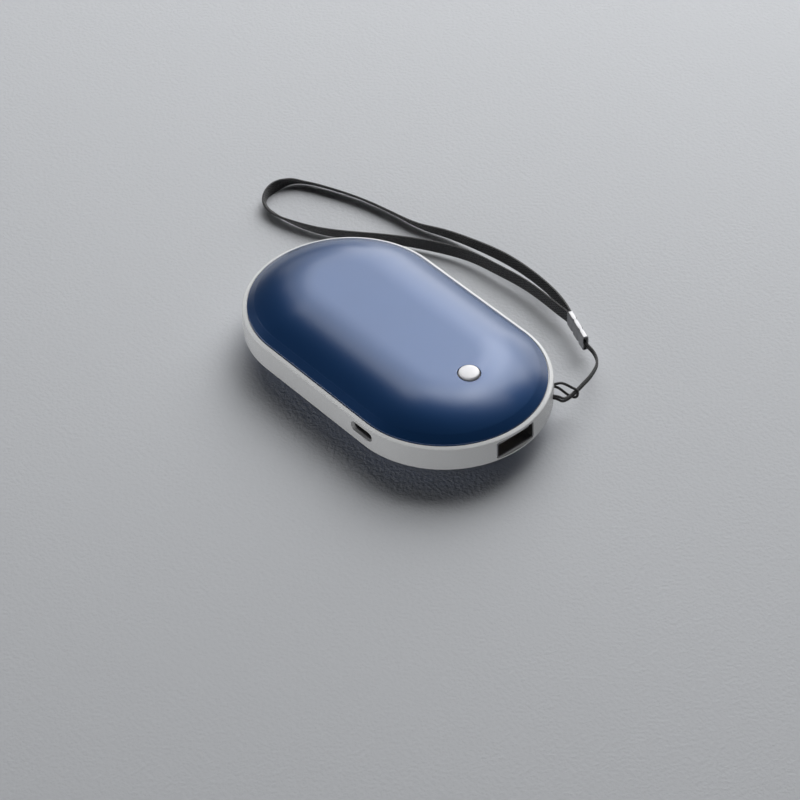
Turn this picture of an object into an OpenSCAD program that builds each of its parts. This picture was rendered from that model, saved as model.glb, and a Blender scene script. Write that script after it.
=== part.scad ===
// Rechargeable hand warmer: two domed metal shells on a plastic rim, with a push button,
// an output socket, a charging socket, a pouch cell, heating films and a wrist strap.
// The long axis is X, the charging socket faces -Y and the button looks up.

/* [Body] */
// Length over the rim
body_l = 103; // [92:1:124]
// Width over the rim
body_w = 60; // [56:1:66]
// Height over the two shells
body_h = 24; // [23:0.5:29]

/* [Rim] */
// Height of the rim's outer face
rim_h = 7.2; // [6.8:0.1:8.6]
// Thickness of the rim wall
rim_wall = 3.6; // [3.4:0.1:4.2]
// Crown of the rim's outer face
rim_bulge = 0.25; // [0.1:0.05:0.5]
// Width of the ledge between rim face and shell
rim_ledge = 1.65; // [1.4:0.05:2]

/* [Shells] */
// Thickness of the shell metal
shell_t = 1; // [0.8:0.1:1.2]
// Height of the upright skirt over the rim
skirt_h = 1.9; // [1.2:0.1:2.4]
// Half width of the flat middle of the dome
crown_flat = 8; // [4:0.5:10]
// Fullness of the dome's shoulder
dome_power = 2; // [1.8:0.1:2.4]

/* [Button] */
// Diameter of the button cap
button_d = 5.8; // [5:0.1:7]
// Distance of the button from the middle of the end arc
button_out = 10; // [8:0.5:12]
// Height of the cap over the shell's crown
button_proud = 0.7; // [0.5:0.1:1.2]
// Travel of the button
button_travel = 0.3; // [0.2:0.05:0.35]

/* [Output socket] */
// Width of the metal shell of the output socket
port_w = 13.1; // [12.8:0.1:13.4]
// Height of the metal shell of the output socket
port_h = 5.4; // [5.2:0.1:5.6]
// Length of the output socket
port_l = 10.4; // [9:0.2:12]
// Depth of the socket's face behind the rim
port_recess = 2.1; // [1.6:0.1:2.4]

/* [Charging socket] */
// Width of the charging socket
charge_w = 7.7; // [7.4:0.1:8]
// Height of the charging socket
charge_h = 2.7; // [2.5:0.1:2.8]
// Length of the charging socket
charge_l = 5; // [4.6:0.1:5.6]
// Width of its opening in the rim
charge_hole_w = 8.6; // [8.3:0.1:9]
// Height of its opening in the rim
charge_hole_h = 3.1; // [3:0.1:3.2]

/* [Cell] */
// Thickness of the pouch cell
cell_t = 10; // [8:0.5:10.5]
// Space between rim wall and the cell's long sides
cell_side_space = 7.4; // [7:0.2:9]
// Space between rim wall and the cell's far end
cell_end_space = 9.9; // [9.5:0.2:12]

/* [Board] */
// Thickness of the circuit board
board_t = 1; // [0.8:0.1:1.2]
// Thickness of the chassis plate
chassis_t = 1.4; // [1.2:0.1:1.6]

/* [Strap] */
// Width of the wrist band
band_w = 4; // [3.6:0.1:4.2]
// Thickness of the wrist band
band_t = 0.65; // [0.5:0.05:0.68]
// Diameter of the hitched cord
cord_d = 0.75; // [0.6:0.05:0.78]

/* [Hidden] */
$fn = 64;

// Overrun of a cutting solid past the face that it opens
over = 1;

// Plan: two end arcs of half the width, joined by straight sides
end_r = body_w / 2;
arc_x = (body_l - body_w) / 2;
mid_z = body_h / 2;
rim_half = rim_h / 2;
rim_in_r = end_r - rim_wall;
rim_edge_r = 0.4;
edge_steps = 4;
bulge_shares = [0.25, 0.5, 0.75, 1];

// Seat of the shells: a shallow step outside the foot and a lip inside it
seat_depth = 0.35;
seat_gap = 0.15;
lip_h = 1;
foot_r = end_r - rim_ledge;
seat_z = rim_half - seat_depth;
lip_r = foot_r - shell_t - seat_gap;
lip_z = seat_z + lip_h;

// Dome over the skirt, level over the flat middle
crease_depth = 0.12;
dome_steps = 14;
dome_base = rim_half + skirt_h;
dome_h = mid_z - dome_base;
dome_a = foot_r - crease_depth - crown_flat;
dome_turn = 2 / dome_power;

// Button, its guide and the switch under it
button_x = arc_x + button_out;
button_hole_gap = 0.35;
cap_edge_drop = 0.5;
cap_steps = 5;
flange_over = 0.9;
flange_t = 0.8;
flange_gap = 0.7;
stem_r = 1.5;
stem_gap = 0.2;
switch_w = 4.5;
switch_h = 3.5;
switch_frame_t = 0.3;
switch_leg_w = 0.7;
switch_leg_l = 1.2;
switch_leg_t = 0.2;
plunger_r = 1.2;
plunger_proud = 1;
plunger_sunk = 0.5;
plunger_gap = 0.05;
plunger_spare = 0.1;
plunger_room = button_travel + plunger_spare;
tower_l = 8.6;
tower_wall = 1;
tower_head_gap = 1.1;
tower_top_t = 1;
tower_tube_wall = 1.1;
tower_tube_gap = 0.9;
tower_window_w = 4.8;
tower_window_h = 3;

// Heights of the plate and the board
chassis_gap = 0.3;
chassis_r = rim_in_r - chassis_gap;
plate_down = 2.8;
plate_top = mid_z - plate_down;
plate_bottom = plate_top - chassis_t;
standoff_h = 1.4;
board_bottom = plate_top + standoff_h;
board_top = board_bottom + board_t;
board_gap = 0.5;
board_r = rim_in_r - board_gap;
board_back = 4.5;
board_x = arc_x - board_back;

// Screws and their bosses
boss_r = 2.2;
boss_in = 1.8;
boss_top = 3;
boss_circle = rim_in_r - boss_in;
boss_turn_near = 62;
boss_turn_far = 155;
screw_r = 0.95;
screw_bore_gap = 0.05;
screw_hole_gap = 0.2;
screw_head_r = 1.7;
screw_head_h = 1.2;
screw_l = 5.6;
screw_tip_room = 0.4;
drive_r = 0.85;
drive_depth = 0.5;
standoff_r = 2;
board_screw_r = 0.8;
board_screw_head_r = 1.5;
board_screw_head_h = 1;
board_screw_l = 3.2;
board_screw_side = 6.4;
board_screw_edge = 3;
board_screw_front_x = 21.5;
board_screw_front_y = 10.5;
board_screw_back = [board_x + board_screw_edge, rim_in_r - board_screw_side];
board_screw_front = [arc_x + board_screw_front_x, board_screw_front_y];

// Lanyard eye: a bent bore that enters and leaves the rim at its outer face
eye_turn = 45;
eye_bend_r = 2.4;
eye_bore_r = 1.05;
eye_boss_r = 4.6;
eye_boss_in = 0.8;
eye_boss_h = 5.6;
eye_clip = 0.6;
eye_board_gap = 0.4;
eye_at = [arc_x + end_r * cos(eye_turn), end_r * sin(eye_turn)];
eye_boss_at = [arc_x + (end_r - eye_boss_in) * cos(eye_turn), (end_r - eye_boss_in) * sin(eye_turn)];

// Output socket
port_face_x = arc_x + end_r - port_recess;
port_back_x = port_face_x - port_l;
port_sheet = 0.3;
port_corner = 0.6;
port_side_gap = 0.15;
port_top_gap = 0.1;
port_cut_in = 8;
port_wing_w = 1.9;
port_wing_l = 2.4;
port_wing_t = 0.4;
port_wing_xs = [1.2, 4.4];
port_spring_w = 1.6;
port_spring_l = 4;
port_spring_y = 3.2;
port_spring_in = 2.6;
tongue_w = 11.1;
tongue_t = 1.8;
tongue_up = 0.4;
tongue_in = 1.1;
tongue_block_l = 2;
tongue_tip = 0.5;
tongue_gap = 0.05;
contact_w = 1;
contact_t = 0.2;
contact_in = 0.3;
contact_pitch_in = 2;
contact_pitch_out = 7;
contact_tail_l = 1.6;
port_notch_gap = 0.2;
round_steps = 5;

// Charging socket
charge_back = 0.85;
charge_recess = 2;
charge_x = arc_x - charge_back;
charge_face = end_r - charge_recess;
charge_sheet = 0.25;
charge_corner = 0.9;
charge_top_cut = 0.4;
charge_hole_round = 1.4;
charge_cut_in = 1;
charge_tongue_w = 5;
charge_tongue_t = 0.6;
charge_tongue_in = 0.7;
charge_tongue_down = 0.75;
charge_block_l = 1;
charge_tab_w = 1.1;
charge_tab_l = 1.4;
charge_tab_t = 0.3;
charge_tab_in = 3.2;

// Cell, its protection board and its leads
cell_w = body_w - 2 * rim_wall - 2 * cell_side_space;
cell_far_x = -(arc_x + rim_in_r - cell_end_space);
cell_board_space = 5;
cell_near_x = board_x - cell_board_space;
cell_edge = 2.6;
cell_seal_l = 2.5;
cell_seal_t = 0.5;
cell_seal_side = 2;
cell_gap = 0.3;
guard_t = 1;
guard_h = 5;
guard_side = 1;
frame_wall = 1.2;
frame_h = 5.3;
lead_d = 1.2;
lead_y = 3;
lead_run = 2.5;
lead_notch_w = 9;
lead_notch_h = 3.2;
lead_lift = 0.65;
pad_solder_r = 1;
pad_solder_h = 0.3;

// Heating films and foam pads, under the domes and round the far end
bond_gap = 0.1;
film_t = 0.3;
film_r = 18;
film_over_board = 2;
film_near_x = board_x + film_over_board;
foam_gap = 0.3;
foam_r = 16;
foam_back = 2;
film_steps = 7;
film_in = shell_t + bond_gap;
foam_in = film_in + film_t + foam_gap;

// Parts on the board
led_l = 1.6;
led_w = 0.8;
led_h = 0.6;
led_y = 2.85;
coil_w = 7;
coil_h = 3.2;
coil_corner = 1.4;
coil_base_t = 0.5;
coil_base_over = 0.2;
coil_x = 8.5;
coil_y = 14.5;
coil_at = [arc_x + coil_x, coil_y];
coil_dish_r = 2.2;
coil_dish_d = 0.25;
chip_w = 4;
chip_l = 5;
chip_t = 1.5;
chip_lift = 0.1;
chip_leg_w = 0.42;
chip_leg_l = 0.9;
chip_leg_t = 0.2;
chip_leg_pitch = 1.27;
chip_leg_h = 0.8;
chip_legs = 4;
chip_xs = [4.5, 9];
chip_ys = [-8.5, -15.5];
chip_ats = [for (i = [0:1]) [arc_x + chip_xs[i], chip_ys[i]]];
flat_chip_w = 4;
flat_chip_t = 0.9;
flat_chip_x = 3;
flat_chip_at = [arc_x + flat_chip_x, 0];
can_r = 2.5;
can_h = 5.4;
can_base_t = 0.8;
can_base_w = 5.3;
can_base_cut = 1;
can_groove_r = 0.3;
can_groove_z = 1.6;
can_x = 16.5;
can_y = 12;
can_at = [arc_x + can_x, can_y];
chip_cap_l = 2;
chip_cap_w = 1.25;
chip_cap_h = 0.9;
chip_cap_out = 2;
chip_cap_x = arc_x + chip_cap_out;
chip_cap_y = 15;
chip_cap_step = 2.2;

// Leads of the heating films and the sensor
heat_lead_d = 0.9;
heat_lead_ys = [9, 11];
heat_lead_out = 1.6;
heat_lead_seat = 0.15;
heat_lead_start = 0.8;
heat_slot_back = 1.1;
heat_lead_slot_x = board_x - heat_slot_back;
heat_slot_w = 1.6;
heat_slot_l = 4.4;
heat_slot_y = -10;
heat_lead_rest = 0.05;
bead_r = 0.7;
bead_l = 2.2;
bead_y = -6;
bead_back = 4;
bead_lead_d = 0.5;
bead_lead_y = 0.3;
bead_lead_out = 5;
bead_lead_drop = 5;
bead_lead_spread = 0.5;
bead_gap = 0.05;
lead_sides = 8;

// Ferrule of the strap
ferrule_at = [22.9, 48.15, 6];
ferrule_turn = -21;
ferrule_l = 12;
ferrule_h = 5;
ferrule_t = 1.9;
ferrule_corner = 0.6;
ferrule_band_depth = 1.5;
ferrule_cord_depth = 1;
ferrule_band_gap = 0.04;
ferrule_cord_gap = 0.05;
band_between = 0.1;
cord_between = 0.11;
crimp_r = 0.9;
crimp_depth = 0.3;
crimp_x = 2.2;
band_edge = 0.15;

// Route of the cord: the middle line of its doubled run, from ferrule to eye and through it
cord_run = [
    [31.6, 45.3, 6.1], [34.9, 44.1, 6.2], [37.6, 42, 6.4], [39.5, 39.1, 6.7], [41, 36, 7.1],
    [42.2, 32.8, 7.6], [43.3, 29.9, 8.1], [44.1, 27.6, 8.5], [44.8, 25.2, 8.9],
    [45.3, 23, 9.6], [45.5, 21.4, 10.7], [45.1, 20.3, 11.7],
    [44.4, 19.5, 12], [42.7, 18.8, 12], [41, 19.5, 12], [40.3, 21.2, 12], [41, 22.9, 12]
];
// The cord's single turn round its own doubled run, from the eye and back to it
cord_turn = [
    [41.4, 24.2, 12.3], [41.5, 25.6, 11.5], [42.2, 26.8, 10.5], [43.2, 27.5, 9.9],
    [44.1, 27.8, 9.8], [44.8, 28, 9.4], [45.1, 27.9, 8.5], [44.9, 27.6, 7.6],
    [44.2, 27.2, 7.2], [43.5, 26.6, 7.5], [43, 25.7, 8.5], [42.6, 24.8, 9.7], [42, 23.9, 10.9]
];
// Route of the band's middle line from ferrule to ferrule; the fourth number is its lean in degrees
band_run = [
    [14, 50.3, 5.9, 0], [7.3, 50.9, 5.5, 0], [0.6, 51.5, 5, 0], [-7.1, 51.4, 4.6, 0],
    [-15.3, 50.6, 4.1, 0], [-24, 49.4, 3.6, 0], [-32, 46.8, 3.1, 0], [-41, 42, 2.8, -5],
    [-50, 36, 2.5, -12], [-58.5, 29.6, 2.2, -18], [-66.2, 24.6, 2.1, -25], [-72.3, 22.1, 2, -33],
    [-77, 20.8, 1.9, -42], [-80.8, 20.2, 1.8, -45], [-84.2, 20.3, 2, -35], [-87, 21.4, 2.1, -15],
    [-89.2, 23.4, 2.1, 0], [-90.5, 26.2, 2.1, 0], [-90.7, 29, 2.1, 0], [-90.2, 31.8, 2.1, 18],
    [-89.2, 34.1, 2, 32], [-87.4, 36, 1.8, 42], [-83.8, 38.2, 1.8, 45], [-79.5, 40.2, 1.8, 45],
    [-72.4, 43, 1.8, 45], [-63, 45.6, 1.8, 42], [-54, 47.2, 1.9, 38], [-46.6, 48.7, 2.1, 30],
    [-40.8, 51, 2.3, 20], [-28.7, 54.3, 3, 8], [-18.5, 55.9, 3.7, 0], [-9, 56.1, 4.4, 0],
    [0.5, 55.3, 5, 0], [8, 53.9, 5.5, 0], [13.4, 52.2, 5.9, 0]
];

// Vectors and lists
function unit(v) = v / norm(v);
function flipped(list) = [for (i = [len(list) - 1:-1:0]) list[i]];
function at_height(spot, z) = [spot[0], spot[1], z];

// Point of the dome's section at angle t, moved inward by inset along the surface's normal
function dome_normal(t) =
    unit([pow(cos(t), 2 - dome_turn) / dome_a, pow(sin(t), 2 - dome_turn) / dome_h]);
function dome_point(t, inset) =
    [crown_flat + dome_a * pow(cos(t), dome_turn), dome_base + dome_h * pow(sin(t), dome_turn)]
    - inset * dome_normal(t);
function dome_curve(t_low, steps, inset) =
    [for (i = [0:steps]) dome_point(t_low + (90 - t_low) * i / steps, inset)];
// Angle at which the dome reaches the radius r
function dome_angle(r) = acos(pow((r - crown_flat) / dome_a, 1 / dome_turn));

// Left half of an outline whose right half starts and ends on the axis
function other_side(pts) = [for (i = [len(pts) - 2:-1:1]) [-pts[i][0], pts[i][1]]];

// Outline of a rectangle with round corners, a by b about its middle
function rounded_box(a, b, r) = [
    for (k = [0:3])
        let (cx = (k == 0 || k == 3 ? 1 : -1) * (a / 2 - r), cy = (k < 2 ? 1 : -1) * (b / 2 - r))
        for (i = [0:round_steps])
            [cx, cy] + r * [cos(90 * (k + i / round_steps)), sin(90 * (k + i / round_steps))]
];

// Places of the six screws through the chassis: beside the middle and on both end arcs
boss_ats = [
    for (side = [-1, 1])
        for (spot = [
            [0, boss_circle],
            [arc_x + boss_circle * cos(boss_turn_near), boss_circle * sin(boss_turn_near)],
            [-arc_x + boss_circle * cos(boss_turn_far), boss_circle * sin(boss_turn_far)]
        ])
            [spot[0], side * spot[1]]
];
board_screw_ats = [
    for (side = [-1, 1]) for (spot = [board_screw_back, board_screw_front]) [spot[0], side * spot[1]]
];

// Outline drawn in the YZ plane and run along X
module along_x(x_from, x_to) {
    translate([x_from, 0, 0])
        rotate([90, 0, 90])
            linear_extrude(x_to - x_from)
                children();
}

// Outline drawn in the XZ plane and run along Y
module along_y(y_from, y_to) {
    translate([0, y_to, 0])
        rotate([90, 0, 0])
            linear_extrude(y_to - y_from)
                children();
}

// Block between two corners
module block(low, high) {
    translate(low)
        cube(high - low);
}

// Upright pin or bore from one height to another
module pin(spot, r, z_from, z_to) {
    translate(at_height(spot, z_from))
        cylinder(h = z_to - z_from, r = r);
}

// Section carried round both end arcs and along both sides; closed says that it meets the axis
module round_ended(pts, closed) {
    for (turn = [-90, 90])
        translate([turn < 0 ? arc_x : -arc_x, 0, 0])
            rotate([0, 0, turn])
                rotate_extrude(angle = 180)
                    polygon(pts);
    along_x(-arc_x, arc_x) {
        if (closed) {
            polygon(concat(pts, other_side(pts)));
        } else {
            polygon(pts);
            mirror([1, 0])
                polygon(pts);
        }
    }
}

// Section that meets the axis, carried round the far end and straight on to x_to
module far_end(pts, x_to) {
    translate([-arc_x, 0, 0])
        rotate([0, 0, 90])
            rotate_extrude(angle = 180)
                polygon(pts);
    along_x(-arc_x, x_to)
        polygon(concat(pts, other_side(pts)));
}

// Heights counted from the middle plane, upward or downward
module upper() {
    translate([0, 0, mid_z])
        children();
}

module lower() {
    translate([0, 0, mid_z])
        mirror([0, 0, 1])
            children();
}

// Sweep of a flat outline along a path, with one width direction for each point of the path
function path_way(path, i) = unit(path[min(i + 1, len(path) - 1)] - path[max(i - 1, 0)]);
function square_to(v, way) = unit(v - (v * way) * way);
function carried(path, start) = [
    for (i = 0, v = square_to(start, path_way(path, 0));
        i < len(path);
        i = i + 1, v = square_to(v, path_way(path, i)))
        v
];

module swept(path, sides, outline) {
    n = len(outline);
    last = len(path) - 1;
    points = [
        for (i = [0:last]) for (q = outline)
            path[i] + q[0] * sides[i] + q[1] * cross(path_way(path, i), sides[i])
    ];
    walls = [
        for (i = [0:last - 1]) for (j = [0:n - 1])
            let (a = i * n + j, b = i * n + (j + 1) % n)
            each [[a, a + n, b + n], [a, b + n, b]]
    ];
    start_cap = [for (j = [1:n - 2]) [0, j, j + 1]];
    end_cap = [for (j = [1:n - 2]) [last * n, last * n + j + 1, last * n + j]];
    polyhedron(points = points, faces = concat(walls, start_cap, end_cap), convexity = 8);
}

function ring(d, count) =
    [for (j = [0:count - 1]) d / 2 * [cos(360 * j / count), sin(360 * j / count)]];

module tube(path, start, d) {
    swept(path, carried(path, start), ring(d, lead_sides));
}

// Dome with its skirt, drawn up from the middle plane
module shell_half() {
    round_ended(
        concat(
            [[0, mid_z]],
            flipped(dome_curve(0, dome_steps, 0)),
            [[foot_r, dome_base - crease_depth], [foot_r, seat_z], [foot_r - shell_t, seat_z]],
            dome_curve(0, dome_steps, shell_t),
            [[0, mid_z - shell_t]]
        ),
        true
    );
}

module top_shell() {
    color([0.11, 0.3, 0.5])
        difference() {
            upper()
                shell_half();
            pin([button_x, 0], button_d / 2 + button_hole_gap, mid_z, body_h + over);
        }
}

module bottom_shell() {
    color([0.11, 0.3, 0.5])
        lower()
            shell_half();
}

// Upper half of the rim's section, from the outer face over ledge, seat and lip to the inner face
function rim_half_outline() = concat(
    [for (share = bulge_shares) [end_r - rim_bulge * share * share, (rim_half - rim_edge_r) * share]],
    [
        for (i = [1:edge_steps])
            [end_r - rim_bulge - rim_edge_r, rim_half - rim_edge_r]
            + rim_edge_r * [cos(90 * i / edge_steps), sin(90 * i / edge_steps)]
    ],
    [
        [foot_r + seat_gap, rim_half], [foot_r + seat_gap, seat_z], [lip_r, seat_z],
        [lip_r, lip_z], [rim_in_r, lip_z]
    ]
);

module rim_frame() {
    upper_half = rim_half_outline();
    color([0.9, 0.91, 0.91])
        difference() {
            union() {
                upper()
                    round_ended(
                        concat(upper_half, [for (p = flipped(upper_half)) [p[0], -p[1]]]),
                        false
                    );
                for (spot = boss_ats)
                    pin(spot, boss_r, plate_top, mid_z + boss_top);
                intersection() {
                    pin(eye_boss_at, eye_boss_r, mid_z - eye_boss_h / 2, mid_z + eye_boss_h / 2);
                    pin([arc_x, 0], end_r - eye_clip, 0, body_h);
                }
            }
            for (spot = boss_ats)
                pin(
                    spot, screw_r + screw_bore_gap,
                    plate_top - over, plate_bottom + screw_l + screw_tip_room
                );
            translate(at_height(eye_at, mid_z))
                rotate_extrude()
                    translate([eye_bend_r, 0])
                        circle(r = eye_bore_r);
            upper()
                along_x(port_face_x - port_cut_in, arc_x + end_r + over)
                    polygon(rounded_box(
                        port_w + 2 * port_side_gap, port_h + 2 * port_top_gap, port_corner
                    ));
            translate([charge_x, 0, board_top + charge_h / 2])
                along_y(-end_r - over, -rim_in_r + charge_cut_in)
                    polygon(rounded_box(charge_hole_w, charge_hole_h, charge_hole_round));
        }
}

// Plate with a frame round the cell, standoffs for the board and slots for the lower leads
module chassis() {
    frame_x = cell_near_x + cell_gap + guard_t + cell_gap;
    frame_y = cell_w / 2 + cell_gap;
    color([0.2, 0.21, 0.22])
        difference() {
            union() {
                round_ended(
                    [[0, plate_bottom], [chassis_r, plate_bottom], [chassis_r, plate_top], [0, plate_top]],
                    true
                );
                intersection() {
                    round_ended(
                        [[0, plate_bottom], [chassis_r, plate_bottom], [chassis_r, body_h], [0, body_h]],
                        true
                    );
                    block(
                        [cell_far_x - cell_gap - frame_wall, -frame_y - frame_wall, plate_bottom],
                        [frame_x + frame_wall, frame_y + frame_wall, plate_top + frame_h]
                    );
                }
                for (spot = board_screw_ats)
                    pin(spot, standoff_r, plate_bottom, board_bottom);
            }
            block(
                [cell_far_x - cell_gap, -frame_y, plate_bottom - over],
                [frame_x, frame_y, plate_top + frame_h + over]
            );
            block(
                [frame_x - over, -lead_notch_w / 2, plate_top + frame_h - lead_notch_h],
                [frame_x + frame_wall + over, lead_notch_w / 2, plate_top + frame_h + over]
            );
            block(
                [heat_lead_slot_x - heat_slot_w / 2, heat_slot_y - heat_slot_l / 2, plate_bottom - over],
                [heat_lead_slot_x + heat_slot_w / 2, heat_slot_y + heat_slot_l / 2, plate_top + over]
            );
            for (spot = boss_ats)
                pin(spot, screw_r + screw_hole_gap, plate_bottom - over, plate_top + over);
            for (spot = board_screw_ats)
                pin(spot, board_screw_r + screw_bore_gap, plate_bottom - over, board_bottom + over);
            pin(eye_boss_at, eye_boss_r + eye_board_gap, plate_bottom - over, body_h);
        }
}

// Heights in the button: the plunger's top carries the stem, the flange lies under the shell
plunger_top = board_top + switch_h + plunger_proud;
flange_top = body_h - shell_t - flange_gap;
flange_bottom = flange_top - flange_t;

module button_cap() {
    cap_r = button_d / 2;
    cap_top = body_h + button_proud;
    color([0.93, 0.93, 0.95])
        translate([button_x, 0, 0])
            rotate_extrude()
                polygon(concat(
                    [
                        [0, plunger_top], [stem_r, plunger_top], [stem_r, flange_bottom],
                        [cap_r + flange_over, flange_bottom], [cap_r + flange_over, flange_top],
                        [cap_r, flange_top]
                    ],
                    [
                        for (i = [0:cap_steps])
                            let (t = 90 * i / cap_steps)
                            [cap_r * cos(t), cap_top - cap_edge_drop * (1 - sin(t))]
                    ]
                ));
}

// Square box over the switch, with side windows for the lamps and a tube that guides the stem
module button_tower() {
    head_z = plunger_top + tower_head_gap;
    tube_r = stem_r + stem_gap + tower_tube_wall;
    color([0.82, 0.83, 0.84])
        difference() {
            union() {
                block(
                    [button_x - tower_l / 2, -tower_l / 2, board_top],
                    [button_x + tower_l / 2, tower_l / 2, head_z + tower_top_t]
                );
                pin([button_x, 0], tube_r, head_z, flange_bottom - tower_tube_gap);
            }
            block(
                [button_x - tower_l / 2 + tower_wall, -tower_l / 2 + tower_wall, board_top - over],
                [button_x + tower_l / 2 - tower_wall, tower_l / 2 - tower_wall, head_z]
            );
            block(
                [button_x - tower_l / 2 - over, -tower_window_w / 2, board_top - over],
                [button_x + tower_l / 2 + over, tower_window_w / 2, board_top + tower_window_h]
            );
            pin([button_x, 0], stem_r + stem_gap, head_z - over, body_h);
        }
}

module tact_switch() {
    half = switch_w / 2;
    leg_x = half + switch_leg_l / 2;
    leg_y = half - switch_leg_w / 2;
    color([0.15, 0.15, 0.16])
        difference() {
            union() {
                block([button_x - half, -half, board_top], [button_x + half, half, board_top + switch_h]);
                for (sx = [-1, 1], sy = [-1, 1])
                    translate([button_x + sx * leg_x, sy * leg_y, board_top])
                        block(
                            [-switch_leg_l / 2, -switch_leg_w / 2, 0],
                            [switch_leg_l / 2, switch_leg_w / 2, switch_leg_t]
                        );
            }
            pin(
                [button_x, 0], plunger_r + plunger_gap,
                board_top + switch_h - plunger_sunk - plunger_room, board_top + switch_h + over
            );
            difference() {
                block(
                    [button_x - half - over, -half - over, board_top + switch_h - switch_frame_t],
                    [button_x + half + over, half + over, board_top + switch_h + over]
                );
                pin([button_x, 0], half - switch_frame_t, board_top, board_top + switch_h + 2 * over);
            }
        }
}

module switch_plunger() {
    color([0.85, 0.2, 0.15])
        pin([button_x, 0], plunger_r, board_top + switch_h - plunger_sunk, plunger_top);
}

module main_board() {
    notch_y = port_w / 2 + port_notch_gap;
    color([0.05, 0.3, 0.18])
        difference() {
            union() {
                translate([arc_x, 0, 0])
                    rotate([0, 0, -90])
                        rotate_extrude(angle = 180)
                            polygon([
                                [0, board_bottom], [board_r, board_bottom],
                                [board_r, board_top], [0, board_top]
                            ]);
                block([board_x, -board_r, board_bottom], [arc_x, board_r, board_top]);
            }
            block(
                [port_back_x - port_notch_gap, -notch_y, board_bottom - over],
                [arc_x + end_r, notch_y, board_top + over]
            );
            for (spot = boss_ats)
                pin(spot, boss_r + chassis_gap, board_bottom - over, board_top + over);
            for (spot = board_screw_ats)
                pin(spot, board_screw_r + screw_hole_gap, board_bottom - over, board_top + over);
            pin(eye_boss_at, eye_boss_r + eye_board_gap, board_bottom - over, board_top + over);
        }
}

module indicator_leds() {
    color([0.95, 0.95, 0.8])
        for (side = [-1, 1])
            translate([button_x - led_l / 2, side * led_y - led_w / 2, board_top])
                cube([led_l, led_w, led_h]);
}

module power_inductor() {
    base_w = coil_w + coil_base_over;
    color([0.25, 0.25, 0.26])
        translate(at_height(coil_at, board_top))
            difference() {
                union() {
                    linear_extrude(coil_base_t)
                        polygon(rounded_box(base_w, base_w, coil_corner));
                    linear_extrude(coil_h)
                        polygon(rounded_box(coil_w, coil_w, coil_corner));
                }
                pin([0, 0], coil_dish_r, coil_h - coil_dish_d, coil_h + over);
            }
}

module legged_chip(spot) {
    translate(at_height(spot, board_top)) {
        block(
            [-chip_w / 2, -chip_l / 2, chip_lift],
            [chip_w / 2, chip_l / 2, chip_lift + chip_t]
        );
        for (side = [-1, 1], i = [0:chip_legs - 1])
            translate([side * (chip_w + chip_leg_l) / 2, (i - (chip_legs - 1) / 2) * chip_leg_pitch, 0]) {
                block(
                    [-chip_leg_l / 2, -chip_leg_w / 2, 0],
                    [chip_leg_l / 2, chip_leg_w / 2, chip_leg_t]
                );
                translate([-side * (chip_leg_l - chip_leg_t) / 2, 0, 0])
                    block(
                        [-chip_leg_t / 2, -chip_leg_w / 2, 0],
                        [chip_leg_t / 2, chip_leg_w / 2, chip_leg_h]
                    );
            }
    }
}

module control_chips() {
    color([0.1, 0.1, 0.11]) {
        for (spot = chip_ats)
            legged_chip(spot);
        translate(at_height(flat_chip_at, board_top))
            block(
                [-flat_chip_w / 2, -flat_chip_w / 2, 0],
                [flat_chip_w / 2, flat_chip_w / 2, flat_chip_t]
            );
    }
}

// Two metal cans on square bases and a row of chip capacitors
module board_capacitors() {
    half = can_base_w / 2;
    color([0.75, 0.76, 0.78]) {
        for (side = [-1, 1])
            translate(at_height([can_at[0], side * can_at[1]], board_top))
                difference() {
                    union() {
                        linear_extrude(can_base_t)
                            polygon([
                                [-half, -half], [half - can_base_cut, -half], [half, can_base_cut - half],
                                [half, half - can_base_cut], [half - can_base_cut, half], [-half, half]
                            ]);
                        pin([0, 0], can_r, 0, can_h);
                    }
                    translate([0, 0, can_groove_z])
                        rotate_extrude()
                            translate([can_r + can_groove_r / 2, 0])
                                circle(r = can_groove_r);
                }
        for (i = [-1:1])
            translate([chip_cap_x, chip_cap_y + i * chip_cap_step, board_top])
                block(
                    [-chip_cap_l / 2, -chip_cap_w / 2, 0],
                    [chip_cap_l / 2, chip_cap_w / 2, chip_cap_h]
                );
    }
}

// Folded metal shell of the output socket, with springs cut out and wings that lie on the board
module usb_a_shell() {
    inner_w = port_w - 2 * port_sheet;
    inner_h = port_h - 2 * port_sheet;
    color([0.78, 0.79, 0.8])
        difference() {
            union() {
                upper()
                    along_x(port_back_x, port_face_x)
                        polygon(rounded_box(port_w, port_h, port_corner));
                for (side = [-1, 1], wing_x = port_wing_xs)
                    translate([port_back_x + wing_x, side * (port_w + port_wing_w) / 2, board_top])
                        block(
                            [0, -(port_wing_w + port_sheet) / 2, 0],
                            [port_wing_l, (port_wing_w + port_sheet) / 2, port_wing_t]
                        );
            }
            upper()
                along_x(port_back_x - over, port_face_x + over)
                    polygon(rounded_box(inner_w, inner_h, port_corner - port_sheet));
            for (side = [-1, 1])
                translate([
                    port_face_x - port_spring_in - port_spring_l, side * port_spring_y - port_spring_w / 2, 0
                ])
                    difference() {
                        cube([port_spring_l, port_spring_w, body_h]);
                        translate([port_sheet, port_sheet, 0])
                            cube([port_spring_l, port_spring_w - 2 * port_sheet, body_h]);
                    }
        }
}

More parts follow.
